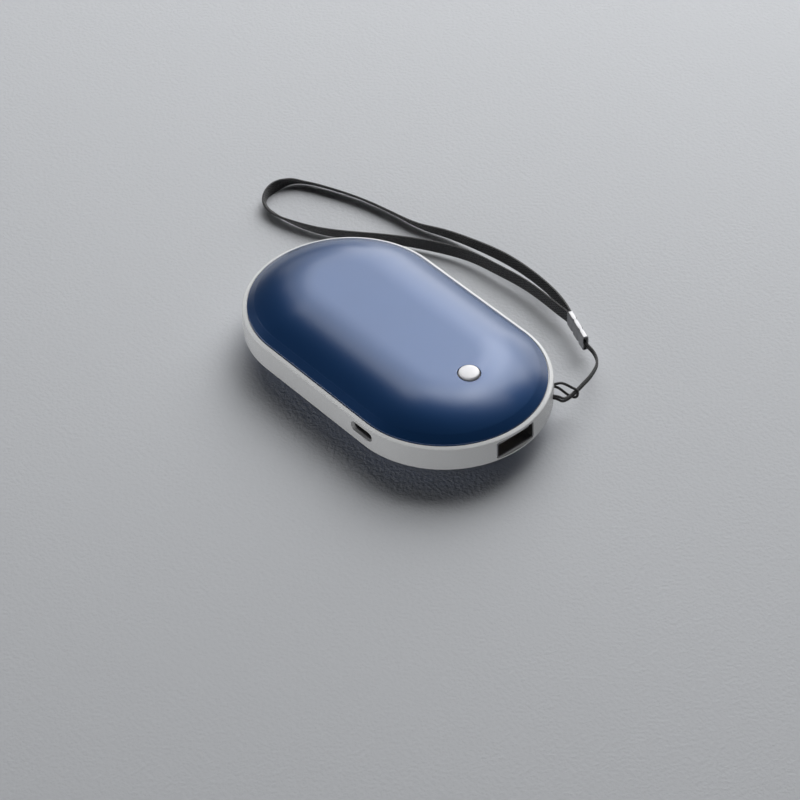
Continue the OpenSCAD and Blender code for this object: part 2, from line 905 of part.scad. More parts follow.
module usb_a_tongue() {
    block_w = port_w - 2 * port_sheet - 2 * port_corner;
    block_h = port_h - 2 * port_sheet - 2 * tongue_gap;
    color([0.08, 0.08, 0.09])
        upper() {
            along_x(port_back_x, port_back_x + tongue_block_l)
                translate([-block_w / 2, -block_h / 2])
                    square([block_w, block_h]);
            along_y(-tongue_w / 2, tongue_w / 2)
                polygon([
                    [port_back_x, tongue_up], [port_face_x - tongue_in - tongue_tip, tongue_up],
                    [port_face_x - tongue_in, tongue_up + tongue_tip],
                    [port_face_x - tongue_in, tongue_up + tongue_t - tongue_tip],
                    [port_face_x - tongue_in - tongue_tip, tongue_up + tongue_t],
                    [port_back_x, tongue_up + tongue_t]
                ]);
        }
}

// Four flat contacts under the tongue and their four tails on the board
module usb_a_contacts() {
    contact_tip_x = port_face_x - tongue_in - tongue_tip - contact_in;
    color([0.85, 0.7, 0.35])
        for (side = [-1, 1], pitch = [contact_pitch_in, contact_pitch_out]) {
            upper()
                translate([0, side * pitch / 2 - contact_w / 2, tongue_up - contact_t])
                    contact_strip(port_back_x + tongue_block_l, contact_tip_x);
            translate([0, side * pitch / 2 - contact_w / 2, board_top])
                contact_strip(port_back_x - contact_tail_l, port_back_x);
        }
}

module contact_strip(x_from, x_to) {
    translate([x_from, 0, 0])
        cube([x_to - x_from, contact_w, contact_t]);
}

// Section of the charging socket: wide above, with its lower corners cut away
function charge_outline(inset) =
    let (w = charge_w / 2 - inset, h = charge_h / 2 - inset)
    let (cut = charge_corner - inset / 2, top = charge_top_cut - inset / 2)
    [
        [top - w, h], [-w, h - top], [-w, cut - h], [cut - w, -h],
        [w - cut, -h], [w, cut - h], [w, h - top], [w - top, h]
    ];

module charge_at() {
    translate([charge_x, 0, board_top + charge_h / 2])
        children();
}

module charge_port_shell() {
    back_y = -charge_face + charge_l;
    color([0.78, 0.79, 0.8]) {
        charge_at()
            difference() {
                along_y(-charge_face, back_y)
                    polygon(charge_outline(0));
                along_y(-charge_face - over, back_y + over)
                    polygon(charge_outline(charge_sheet));
            }
        for (side = [-1, 1])
            translate([charge_x + side * (charge_w + charge_tab_w) / 2, charge_tab_in - charge_face, board_top])
                block(
                    [-charge_tab_w / 2, 0, 0],
                    [charge_tab_w / 2, charge_tab_l, charge_corner + charge_tab_t]
                );
    }
}

module charge_port_tongue() {
    back_y = -charge_face + charge_l;
    tongue_z = charge_h / 2 - charge_tongue_down;
    color([0.08, 0.08, 0.09])
        charge_at() {
            along_y(back_y - charge_block_l, back_y)
                polygon(charge_outline(charge_sheet + tongue_gap));
            block(
                [-charge_tongue_w / 2, charge_tongue_in - charge_face, tongue_z - charge_tongue_t],
                [charge_tongue_w / 2, back_y - charge_block_l, tongue_z]
            );
        }
}

// Pouch with rounded long edges and a thin seal at the end that carries the tabs
module battery_cell() {
    seal_x = cell_near_x - cell_seal_l;
    color([0.7, 0.72, 0.74])
        upper() {
            along_x(cell_far_x, seal_x)
                polygon(rounded_box(cell_w, cell_t, cell_edge));
            along_x(seal_x, cell_near_x)
                translate([cell_seal_side - cell_w / 2, -cell_seal_t / 2])
                    square([cell_w - 2 * cell_seal_side, cell_seal_t]);
        }
}

module battery_board() {
    color([0.05, 0.3, 0.18])
        upper()
            block(
                [cell_near_x + cell_gap, guard_side - cell_w / 2, -guard_h / 2],
                [cell_near_x + cell_gap + guard_t, cell_w / 2 - guard_side, guard_h / 2]
            );
}

module battery_leads() {
    lead_from = cell_near_x + cell_gap + guard_t;
    lead_to = board_x + lead_run;
    color([0.75, 0.1, 0.1])
        for (side = [-1, 1]) {
            translate([lead_from, side * lead_y, board_top + lead_lift])
                rotate([0, 90, 0])
                    cylinder(h = lead_to - lead_from, r = lead_d / 2);
            pin(
                [lead_to + pad_solder_r, side * lead_y], pad_solder_r,
                board_top, board_top + lead_lift + pad_solder_h
            );
        }
}

// Film that follows the dome at the depth film_in
module heater_film() {
    low = dome_angle(film_r);
    far_end(
        concat(
            [[0, mid_z - film_in]],
            flipped(dome_curve(low, film_steps, film_in)),
            dome_curve(low, film_steps, film_in + film_t),
            [[0, mid_z - film_in - film_t]]
        ),
        film_near_x
    );
}

module top_heater() {
    color([0.75, 0.45, 0.15])
        upper()
            heater_film();
}

module bottom_heater() {
    color([0.75, 0.45, 0.15])
        lower()
            heater_film();
}

// Pad that fills the space between the cell's flat face and the film
module foam_pad() {
    low = dome_angle(foam_r);
    far_end(
        concat(
            [[0, mid_z - foam_in]],
            flipped(dome_curve(low, film_steps, foam_in)),
            [[dome_point(low, foam_in)[0], cell_t / 2], [0, cell_t / 2]]
        ),
        cell_near_x - foam_back
    );
}

module top_pad() {
    color([0.3, 0.3, 0.32])
        upper()
            foam_pad();
}

module bottom_pad() {
    color([0.3, 0.3, 0.32])
        lower()
            foam_pad();
}

// Leads of the upper film drop to the board; those of the lower film rise through the chassis
module heater_leads() {
    seat_h = mid_z - film_in - film_t - heat_lead_d / 2 - heat_lead_seat;
    drop_x = film_near_x + heat_lead_out;
    rest_z = board_top + heat_lead_d / 2 + heat_lead_rest;
    color([0.8, 0.8, 0.78])
        for (y = heat_lead_ys) {
            tube(
                [
                    [film_near_x - heat_lead_start, y, mid_z + seat_h],
                    [film_near_x + heat_lead_start, y, mid_z + seat_h - heat_lead_start / 2],
                    [drop_x, y, mid_z + seat_h - 2 * heat_lead_out],
                    [drop_x, y, board_top]
                ],
                [0, 1, 0], heat_lead_d
            );
            tube(
                [
                    [film_near_x - heat_lead_start, -y, mid_z - seat_h],
                    [heat_lead_slot_x + heat_lead_start, -y, mid_z - seat_h + heat_lead_start],
                    [heat_lead_slot_x, -y, plate_bottom - heat_lead_out],
                    [heat_lead_slot_x, -y, board_top],
                    [board_x, -y, rest_z],
                    [board_x + heat_lead_out, -y, rest_z]
                ],
                [0, 1, 0], heat_lead_d
            );
        }
}

// Sensor bead against the upper film, with two thin leads to the board
module thermistor() {
    bead_x = film_near_x - bead_back;
    bead_z = body_h - film_in - film_t - bead_r - bead_gap;
    color([0.1, 0.1, 0.12]) {
        translate([bead_x - bead_l, bead_y, bead_z])
            rotate([0, 90, 0])
                cylinder(h = bead_l, r = bead_r);
        for (side = [-1, 1])
            tube(
                [
                    [bead_x, bead_y + side * bead_lead_y, bead_z],
                    [bead_x + bead_lead_out - bead_r, bead_y + side * bead_lead_spread, bead_z - bead_r],
                    [bead_x + bead_lead_out, bead_y + side * bead_lead_spread, bead_z - bead_lead_drop],
                    [bead_x + bead_lead_out, bead_y + side * bead_lead_spread, board_top]
                ],
                [0, 1, 0], bead_lead_d
            );
    }
}

// Pan-head screw whose head rests at head_z; it points up for a positive length
module screw(spot, head_z, head_r, head_h, r, length) {
    translate(at_height(spot, head_z))
        mirror([0, 0, length > 0 ? 0 : 1])
            difference() {
                union() {
                    pin([0, 0], head_r, -head_h, 0);
                    pin([0, 0], r, 0, abs(length));
                }
                translate([0, 0, -head_h - over])
                    cylinder(h = drive_depth + over, r = drive_r * head_r / screw_head_r, $fn = 6);
            }
}

module chassis_screws() {
    color([0.55, 0.56, 0.58])
        for (spot = boss_ats)
            screw(spot, plate_bottom, screw_head_r, screw_head_h, screw_r, screw_l);
}

module board_screws() {
    color([0.55, 0.56, 0.58])
        for (spot = board_screw_ats)
            screw(spot, board_top, board_screw_head_r, board_screw_head_h, board_screw_r, -board_screw_l);
}

// Place in the ferrule's own frame, as a place in the part
function in_ferrule(p) = ferrule_at + [
    p[0] * cos(ferrule_turn) - p[1] * sin(ferrule_turn),
    p[0] * sin(ferrule_turn) + p[1] * cos(ferrule_turn),
    p[2]
];
cord_seat_x = ferrule_l / 2 - ferrule_cord_depth;
band_seat_x = ferrule_band_depth - ferrule_l / 2;

// One cord: out along the upper side of the doubled run, round it, and back along the lower side
function up_from(path, i) = square_to([0, 0, 1], path_way(path, i));
cord_line = concat([in_ferrule([cord_seat_x, 0, 0]), in_ferrule([ferrule_l / 2, 0, 0])], cord_run);
cord_apart = (cord_d + cord_between) / 2;
cord_out = [for (i = [0:len(cord_line) - 1]) cord_line[i] + cord_apart * up_from(cord_line, i)];
cord_back = [for (i = [len(cord_line) - 1:-1:0]) cord_line[i] - cord_apart * up_from(cord_line, i)];

module strap_cord() {
    color([0.06, 0.06, 0.07])
        tube(concat(cord_out, cord_turn, cord_back), [0, 0, 1], cord_d);
}

// Flat crimped sleeve with a pocket for the band at one end and one for the cord at the other
module strap_ferrule() {
    band_room = 2 * band_t + band_between + 2 * ferrule_band_gap;
    cord_room = cord_d + 2 * ferrule_cord_gap;
    color([0.75, 0.76, 0.77])
        translate(ferrule_at)
            rotate([0, 0, ferrule_turn])
                difference() {
                    along_x(-ferrule_l / 2, ferrule_l / 2)
                        polygon(rounded_box(ferrule_t, ferrule_h, ferrule_corner));
                    block(
                        [-ferrule_l / 2 - over, -band_room / 2, -band_w / 2 - ferrule_band_gap],
                        [band_seat_x, band_room / 2, band_w / 2 + ferrule_band_gap]
                    );
                    block(
                        [cord_seat_x, -cord_room / 2, -cord_apart - cord_room / 2],
                        [ferrule_l / 2 + over, cord_room / 2, cord_apart + cord_room / 2]
                    );
                    for (side = [-1, 1], x = [-crimp_x, crimp_x])
                        pin(
                            [x, side * (ferrule_t / 2 + crimp_r - crimp_depth)], crimp_r,
                            -ferrule_h / 2 - over, ferrule_h / 2 + over
                        );
                }
}

// Section of the band, with its corners cut
function band_outline() =
    let (w = band_w / 2, t = band_t / 2, e = band_edge)
    [[w, e - t], [w, t - e], [w - e, t], [e - w, t], [-w, t - e], [-w, e - t], [e - w, -t], [w - e, -t]];

// One band: out of the ferrule on its near side and back into it on its far side
band_apart = (band_t + band_between) / 2;
band_line = concat(
    [in_ferrule([band_seat_x, -band_apart, 0]), in_ferrule([-ferrule_l / 2, -band_apart, 0])],
    [for (p = band_run) [p[0], p[1], p[2]]],
    [in_ferrule([-ferrule_l / 2, band_apart, 0]), in_ferrule([band_seat_x, band_apart, 0])]
);
band_lean = concat([0, 0], [for (p = band_run) p[3]], [0, 0]);

module strap_band() {
    sides = [
        for (i = [0:len(band_line) - 1])
            let (up = up_from(band_line, i), way = path_way(band_line, i))
            cos(band_lean[i]) * up + sin(band_lean[i]) * cross(way, up)
    ];
    color([0.06, 0.06, 0.07])
        swept(band_line, sides, band_outline());
}

top_shell();
bottom_shell();
rim_frame();
chassis();
button_cap();
button_tower();
tact_switch();
switch_plunger();
main_board();
indicator_leds();
power_inductor();
control_chips();
board_capacitors();
usb_a_shell();
usb_a_tongue();
usb_a_contacts();
charge_port_shell();
charge_port_tongue();
battery_cell();
battery_board();
battery_leads();
top_heater();
bottom_heater();
top_pad();
bottom_pad();
heater_leads();
thermistor();
chassis_screws();
board_screws();
strap_cord();
strap_ferrule();
strap_band();
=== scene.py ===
from math import atan2, cos, pi, radians, sin, tan

import bmesh
import bpy
import numpy as np
from mathutils import Matrix, Vector


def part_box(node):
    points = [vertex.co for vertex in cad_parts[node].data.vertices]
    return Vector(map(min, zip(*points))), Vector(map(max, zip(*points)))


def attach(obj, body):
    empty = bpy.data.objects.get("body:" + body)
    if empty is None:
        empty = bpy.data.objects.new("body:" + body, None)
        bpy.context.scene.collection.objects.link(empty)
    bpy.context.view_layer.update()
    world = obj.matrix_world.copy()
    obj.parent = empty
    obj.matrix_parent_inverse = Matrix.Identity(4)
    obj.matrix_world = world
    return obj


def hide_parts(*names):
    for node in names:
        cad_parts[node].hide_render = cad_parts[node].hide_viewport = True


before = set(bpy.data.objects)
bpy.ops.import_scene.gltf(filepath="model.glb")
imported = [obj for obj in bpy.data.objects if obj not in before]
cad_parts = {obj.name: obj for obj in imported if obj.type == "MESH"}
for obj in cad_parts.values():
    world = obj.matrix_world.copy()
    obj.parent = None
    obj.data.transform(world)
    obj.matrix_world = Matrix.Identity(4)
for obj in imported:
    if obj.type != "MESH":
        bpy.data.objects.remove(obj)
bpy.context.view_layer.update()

mm = 0.001

# Camera. It stands beyond the near right of the warmer and looks down on it through a
# long lens, from about one metre away, with the frame turned a little off level.
camera_turn, camera_rise, camera_roll = radians(51.269), radians(41.697), radians(-2.145)
camera_far = 1000 * mm
camera_aim = np.array([0, 0, 12]) * mm
camera_slide = np.array([1.097, -14.145]) * mm
lens_mm, film_mm = 160.159, 36

toward_camera = np.array([
    sin(camera_turn) * cos(camera_rise), -cos(camera_turn) * cos(camera_rise), sin(camera_rise)
])
level_way = np.array([cos(camera_turn), sin(camera_turn), 0])
upright_way = np.cross(toward_camera, level_way)
right_way = cos(camera_roll) * level_way + sin(camera_roll) * upright_way
up_way = cos(camera_roll) * upright_way - sin(camera_roll) * level_way
camera_ways = np.array([right_way, up_way, toward_camera])
camera_at = camera_aim + camera_ways.T @ [*camera_slide, camera_far]
camera = bpy.data.objects.new("camera", bpy.data.cameras.new("camera"))
camera.data.lens, camera.data.sensor_width = lens_mm, film_mm
camera.matrix_world = Matrix(np.vstack([
    np.vstack([camera_ways, camera_at]).T, [0, 0, 0, 1]
]).tolist())
bpy.context.scene.collection.objects.link(camera)
bpy.context.scene.camera = camera
bpy.context.scene.view_settings.view_transform = "Standard"

# Strap cord. One thin braided nylon cord goes from the ferrule to the rim's eye and through
# it, turns once round its own doubled run and goes back. Heat-cut ends sit in the ferrule.
cord_d, cord_between = 0.75, 0.11
cord_sides, cord_step = 14, 0.18
ferrule_at, ferrule_turn, ferrule_l = np.array([22.9, 48.15, 6]), radians(-21), 12
cord_seat = 5
cord_run = [
    [31.6, 45.3, 6.1], [34.9, 44.1, 6.2], [37.6, 42, 6.4], [39.5, 39.1, 6.7], [41, 36, 7.1],
    [42.2, 32.8, 7.6], [43.3, 29.9, 8.1], [44.1, 27.6, 8.5], [44.8, 25.2, 8.9], [45.3, 23, 9.6],
    [45.5, 21.4, 10.7], [45.1, 20.3, 11.7], [44.4, 19.5, 12], [42.7, 18.8, 12], [41, 19.5, 12],
    [40.3, 21.2, 12], [41, 22.9, 12],
]
cord_round = [
    [41.4, 24.2, 12.3], [41.5, 25.6, 11.5], [42.2, 26.8, 10.5], [43.2, 27.5, 9.9],
    [44.1, 27.8, 9.8], [44.8, 28, 9.4], [45.1, 27.9, 8.5], [44.9, 27.6, 7.6], [44.2, 27.2, 7.2],
    [43.5, 26.6, 7.5], [43, 25.7, 8.5], [42.6, 24.8, 9.7], [42, 23.9, 10.9],
]
upward = np.array([0, 0, 1.0])
weld_gap = 0.001 * mm


def unit(v):
    """Each row divided by its own length."""
    return v / np.linalg.norm(v, axis=-1, keepdims=True)


def ways(path):
    """Direction of a path at each point: from the point before to the point after."""
    stretched = np.vstack([path[:1], path, path[-1:]])
    return unit(stretched[2:] - stretched[:-2])


def square_to(v, way):
    """The part of v that is square to way, row by row, made one unit long. One v may do for
    every row of way."""
    return unit(v - (v * way).sum(-1, keepdims=True) * way)


def in_ferrule(*places):
    """Places in the ferrule's own frame as places in the part: turned about Z, then moved."""
    turn = np.array([
        [cos(ferrule_turn), -sin(ferrule_turn), 0],
        [sin(ferrule_turn), cos(ferrule_turn), 0],
        [0, 0, 1],
    ])
    return np.array(places, float) @ turn.T + ferrule_at


def smooth_line(points, step):
    """Natural cubic spline through the points, with the chord length as its parameter: each
    span mixes its ends and their second derivatives, which one linear system gives. Columns
    past the third are carried along. It is read off at even steps."""
    gaps = np.linalg.norm(np.diff(points[:, :3], axis=0), axis=1)
    at = np.r_[0, np.cumsum(gaps)]
    inner = np.arange(1, len(points) - 1)
    system = np.eye(len(points))
    system[inner, inner - 1], system[inner, inner + 1] = gaps[:-1], gaps[1:]
    system[inner, inner] = 2 * (gaps[:-1] + gaps[1:])
    slopes = np.diff(points, axis=0) / gaps[:, None]
    change = np.zeros_like(points)
    change[inner] = 6 * np.diff(slopes, axis=0)
    bend = np.linalg.solve(system, change)
    t = np.linspace(0, at[-1], int(at[-1] / step) + 2)
    k = np.clip(np.searchsorted(at, t, side="right") - 1, 0, len(gaps) - 1)
    b = ((t - at[k]) / gaps[k])[:, None]
    a = 1 - b
    reach = gaps[k, None] ** 2 / 6
    bent = ((a**3 - a) * bend[k] + (b**3 - b) * bend[k + 1]) * reach
    return a * points[k] + b * points[k + 1] + bent


def carried(path):
    """Side direction for each ring of a tube: the last ring's, made square to the new way."""
    way = ways(path)
    side = [square_to(upward, way[0])]
    for w in way[1:]:
        side.append(square_to(side[-1], w))
    return np.array(side)


def swept(path, sides, outline):
    """Grid of points: outline (a, b) set at each path point as a along the side direction and
    b along the direction square to both side and path."""
    across = np.cross(ways(path), sides)
    aside = outline[None, :, :1] * sides[:, None]
    return path[:, None] + aside + outline[None, :, 1:] * across[:, None]


def round_outline(d, count):
    """Circle of diameter d as count points (a, b)."""
    t = np.arange(count) * 2 * pi / count
    return d / 2 * np.stack([np.cos(t), np.sin(t)], 1)


def grid_mesh(name, grid, long_round=False, capped=False, sharp=40, merge=False):
    """Mesh through a grid of points in millimetres: square (i, j) joins point (i, j) to its next
    points along and across. Across, the last point joins the first, and so does the last row
    along a grid that is long_round. A capped grid has one face over each end. The UV map holds
    the distances along and across, in metres."""
    grid = np.asarray(grid, float) * mm
    n, m = grid.shape[:2]
    i, j = np.meshgrid(np.arange(n if long_round else n - 1), np.arange(m), indexing="ij")
    i, j = i.ravel(), j.ravel()
    corners = np.stack([
        i * m + j, (i + 1) % n * m + j, (i + 1) % n * m + (j + 1) % m, i * m + (j + 1) % m
    ], 1)
    faces = corners.tolist()
    if capped:
        faces += [list(range(m)), list(range((n - 1) * m, n * m))]
    mesh = bpy.data.meshes.new(name)
    mesh.from_pydata(grid.reshape(-1, 3).tolist(), [], faces)
    wide = np.concatenate([grid, grid[:, :1]], 1)
    wide = np.concatenate([wide, wide[:1]], 0)
    along = np.cumsum(np.linalg.norm(np.diff(wide, axis=0, prepend=wide[:1]), axis=2).mean(1))
    across = np.cumsum(np.linalg.norm(np.diff(wide, axis=1, prepend=wide[:, :1]), axis=2).mean(0))
    laid = np.stack([
        np.stack([along[i + di], across[j + dj]], 1) for di, dj in ((0, 0), (1, 0), (1, 1), (0, 1))
    ], 1).reshape(-1, 2)
    ends = np.zeros((2 * m if capped else 0, 2))
    mesh.uv_layers.new(name="laid").data.foreach_set("uv", np.vstack([laid, ends]).ravel())
    return made_piece(name, mesh, sharp, merge)


def made_piece(name, mesh, sharp=40, merge=False):
    """Object for a mesh, with its doubles merged if asked, its faces turned outward and its
    shading smooth except over edges that bend by more than sharp degrees."""
    work = bmesh.new()
    work.from_mesh(mesh)
    if merge:
        bmesh.ops.remove_doubles(work, verts=work.verts, dist=weld_gap)
    bmesh.ops.recalc_face_normals(work, faces=work.faces)
    work.to_mesh(mesh)
    work.free()
    mesh.shade_smooth()
    mesh.set_sharp_from_angle(angle=radians(sharp))
    piece = bpy.data.objects.new(name, mesh)
    bpy.context.scene.collection.objects.link(piece)
    return piece


def put(tree, kind, inputs=None, **settings):
    """Adds a node with these settings; each input gets a plain value or another node's output."""
    made = tree.nodes.new(kind)
    for key, value in settings.items():
        setattr(made, key, value)
    for key, value in (inputs or {}).items():
        if isinstance(value, bpy.types.NodeSocket):
            tree.links.new(value, made.inputs[key])
        else:
            made.inputs[key].default_value = value
    return made


def reckon(tree, operation, *values):
    """Output of a Math node for one operation on plain values or other outputs."""
    return put(tree, "ShaderNodeMath", dict(enumerate(values)), operation=operation).outputs[0]


def tint(tree, share, first, second):
    """Output of a Mix node that goes from the first colour to the second."""
    return put(tree, "ShaderNodeMix", {0: share, 6: first, 7: second}, data_type="RGBA").outputs[2]


def new_group(name, inputs, outputs):
    """Shader node group with named inputs (name, kind, value) and outputs (name, kind); gives
    its tree, its inputs by name and a function that joins an output."""
    tree = bpy.data.node_groups.new(name, "ShaderNodeTree")
    for label, kind, value in inputs:
        socket = tree.interface.new_socket(label, in_out="INPUT", socket_type="NodeSocket" + kind)
        if value is not None:
            socket.default_value = value
    for label, kind in outputs:
        tree.interface.new_socket(label, in_out="OUTPUT", socket_type="NodeSocket" + kind)
    given = tree.nodes.new("NodeGroupInput").outputs
    result = tree.nodes.new("NodeGroupOutput").inputs
    return tree, given, lambda label, value: tree.links.new(value, result[label])


def use_group(tree, group, **inputs):
    """Places a node group in a material with its own values; gives its outputs by name."""
    return put(tree, "ShaderNodeGroup", inputs, node_tree=group).outputs


def new_finish(name, **values):
    """Material whose shader has these plain values, an underscore standing for a space; gives
    the material, its tree and the shader's inputs."""
    made = bpy.data.materials.new(name)
    made.use_nodes = True
    shader = made.node_tree.nodes["Principled BSDF"].inputs
    for key, value in values.items():
        shader[key.replace("_", " ")].default_value = value
    return made, made.node_tree, shader


def tinted(tree, shader, share, first, second):
    """Joins a mix of two colours to the shader's colour: the first where the share is 0."""
    tree.links.new(tint(tree, share, first, second), shader["Base Color"])


def roughened(tree, shader, share, span, least):
    """Joins a roughness to the shader: least where the share is 0, and span more where it is 1."""
    tree.links.new(reckon(tree, "MULTIPLY_ADD", share, span, least), shader["Roughness"])


def relief(tree, shader, height, depth):
    """Joins a height to the shader's normal through a Bump node, as a relief of a depth in
    millimetres."""
    bump = put(tree, "ShaderNodeBump", {"Height": height, "Distance": depth * mm})
    tree.links.new(bump.outputs[0], shader["Normal"])


def on_object(tree):
    """Place on the object, in metres."""
    return tree.nodes.new("ShaderNodeTexCoord").outputs["Object"]


# Woven and braided thread, from the surface's own map: two sets of threads cross, each a
# row of round backs, and a chequer says which one is on top.
weave, given, result = new_group(
    "weave",
    [
        ("Vector", "Vector", None), ("Along", "Float", 2000.0), ("Across", "Float", 2000.0),
        ("Turn", "Float", 0.0),
    ],
    [("Height", "Float"), ("Thread", "Float"), ("Fibre", "Float")],
)
turned = put(
    weave, "ShaderNodeVectorRotate", {"Vector": given["Vector"], "Angle": given["Turn"]},
    rotation_type="Z_AXIS",
).outputs[0]
split = put(weave, "ShaderNodeSeparateXYZ", {0: turned}).outputs
first = reckon(weave, "MULTIPLY", split[0], given["Along"])
second = reckon(weave, "MULTIPLY", split[1], given["Across"])
back_first, back_second = (
    reckon(weave, "ABSOLUTE", reckon(weave, "SINE", reckon(weave, "MULTIPLY", thread, pi)))
    for thread in (first, second)
)
chequer = reckon(weave, "PINGPONG", reckon(
    weave, "ADD", reckon(weave, "FLOOR", first), reckon(weave, "FLOOR", second)
), 1.0)
under = reckon(weave, "SUBTRACT", 1.0, chequer)
result("Height", reckon(
    weave, "ADD", reckon(weave, "MULTIPLY", back_first, chequer),
    reckon(weave, "MULTIPLY", back_second, under),
))
result("Thread", chequer)
fibre = put(weave, "ShaderNodeTexNoise", {"Vector": turned, "Scale": 9000.0, "Detail": 2.0})
result("Fibre", fibre.outputs[0])

cord_mid = np.vstack([in_ferrule([cord_seat, 0, 0], [ferrule_l / 2, 0, 0]), cord_run])
cord_lift = (cord_d + cord_between) / 2 * square_to(upward, ways(cord_mid))
cord_path = smooth_line(
    np.vstack([cord_mid + cord_lift, cord_round, (cord_mid - cord_lift)[::-1]]), cord_step
)
strap_cord = grid_mesh(
    "cord_braided", swept(cord_path, carried(cord_path), round_outline(cord_d, cord_sides)),
    capped=True,
)

cord_black, tree, shader = new_finish(
    "braided_nylon", Base_Color=(0.012, 0.012, 0.014, 1), Roughness=0.55,
    Sheen_Weight=0.25, Sheen_Roughness=0.4,
)
laid = tree.nodes.new("ShaderNodeUVMap").outputs[0]
braid = use_group(tree, weave, Vector=laid, Along=3400.0, Across=3400.0, Turn=pi / 4)
tinted(tree, shader, braid["Fibre"], (0.006, 0.006, 0.007, 1), (0.02, 0.02, 0.023, 1))
relief(tree, shader, braid["Height"], 0.06)
strap_cord.data.materials.append(cord_black)
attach(strap_cord, "housing")
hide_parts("strap_cord")

# Strap band. A flat woven nylon tape, 4 mm wide, leaves the ferrule, runs out to a loop for
# the wrist and comes back into the ferrule beside its start.
band_w, band_t, band_between = 4, 0.65, 0.1
band_step, band_round, band_corner_steps, band_side_steps = 0.5, 0.22, 5, 12
band_seat = -4.5
band_run = [
    [14, 50.3, 5.9, 0], [7.3, 50.9, 5.5, 0], [0.6, 51.5, 5, 0], [-7.1, 51.4, 4.6, 0],
    [-15.3, 50.6, 4.1, 0], [-24, 49.4, 3.6, 0], [-32, 46.8, 3.1, 0], [-41, 42, 2.8, -5],
    [-50, 36, 2.5, -12], [-58.5, 29.6, 2.2, -18], [-66.2, 24.6, 2.1, -25], [-72.3, 22.1, 2, -33],
    [-77, 20.8, 1.9, -42], [-80.8, 20.2, 1.8, -45], [-84.2, 20.3, 2, -35], [-87, 21.4, 2.1, -15],
    [-89.2, 23.4, 2.1, 0], [-90.5, 26.2, 2.1, 0], [-90.7, 29, 2.1, 0], [-90.2, 31.8, 2.1, 18],
    [-89.2, 34.1, 2, 32], [-87.4, 36, 1.8, 42], [-83.8, 38.2, 1.8, 45], [-79.5, 40.2, 1.8, 45],
    [-72.4, 43, 1.8, 45], [-63, 45.6, 1.8, 42], [-54, 47.2, 1.9, 38], [-46.6, 48.7, 2.1, 30],
    [-40.8, 51, 2.3, 20], [-28.7, 54.3, 3, 8], [-18.5, 55.9, 3.7, 0], [-9, 56.1, 4.4, 0],
    [0.5, 55.3, 5, 0], [8, 53.9, 5.5, 0], [13.4, 52.2, 5.9, 0],
]


def tape_outline(w, t, r, corner_steps, side_steps):
    """Rectangle w by t with corners of radius r, its long sides cut into side_steps."""
    turn = np.linspace(0, pi / 2, corner_steps)
    arc = r * np.stack([np.cos(turn), np.sin(turn)], 1)
    corner = [w / 2 - r, t / 2 - r] + arc
    side = np.linspace(w / 2 - r, r - w / 2, side_steps + 1)[1:-1]
    long_side = np.stack([side, np.full(len(side), t / 2)], 1)
    half = np.vstack([corner, long_side, (corner * [-1, 1])[::-1]])
    return np.vstack([half, -half])


band_apart = (band_t + band_between) / 2
band_ends = [[band_seat, 0, 0], [-ferrule_l / 2, 0, 0]]
band_out = in_ferrule(*(np.array(band_ends) - [0, band_apart, 0]))
band_in = in_ferrule(*(np.array(band_ends[::-1]) + [0, band_apart, 0]))
band_spine = smooth_line(np.vstack([
    np.column_stack([band_out, [0, 0]]), band_run, np.column_stack([band_in, [0, 0]])
]), band_step)
band_path, lean = band_spine[:, :3], np.radians(band_spine[:, 3:])
band_up = square_to(upward, ways(band_path))
band_side = np.cos(lean) * band_up + np.sin(lean) * np.cross(ways(band_path), band_up)
band_outline = tape_outline(band_w, band_t, band_round, band_corner_steps, band_side_steps)
strap_band = grid_mesh("band_woven", swept(band_path, band_side, band_outline), capped=True)

band_black, tree, shader = new_finish(
    "woven_nylon", Base_Color=(0.012, 0.012, 0.014, 1), Roughness=0.6,
    Sheen_Weight=0.35, Sheen_Roughness=0.35,
)
laid = tree.nodes.new("ShaderNodeUVMap").outputs[0]
tape = use_group(tree, weave, Vector=laid, Along=1900.0, Across=3200.0, Turn=0.0)
shade = reckon(
    tree, "MULTIPLY_ADD", tape["Thread"], 0.3, reckon(tree, "MULTIPLY", tape["Fibre"], 0.7)
)
tinted(tree, shader, shade, (0.006, 0.006, 0.007, 1), (0.024, 0.024, 0.027, 1))
roughened(tree, shader, tape["Fibre"], 0.2, 0.45)
relief(tree, shader, tape["Height"], 0.09)
strap_band.data.materials.append(band_black)
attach(strap_band, "housing")
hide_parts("strap_band")

# Ferrule. A strip of bright steel is folded flat round cord and band and crimped twice on
# each side, so that both are held by friction. Its two mouths stay open.
ferrule_h, ferrule_t, ferrule_corner = 5, 1.9, 0.6
crimp_x, crimp_depth, crimp_r = 2.2, 0.3, 0.9
mouth_wall, mouth_round, mouth_in = 0.18, 0.12, 0.01
sleeve_steps, sleeve_corner_steps, sleeve_side_steps = 121, 8, 10


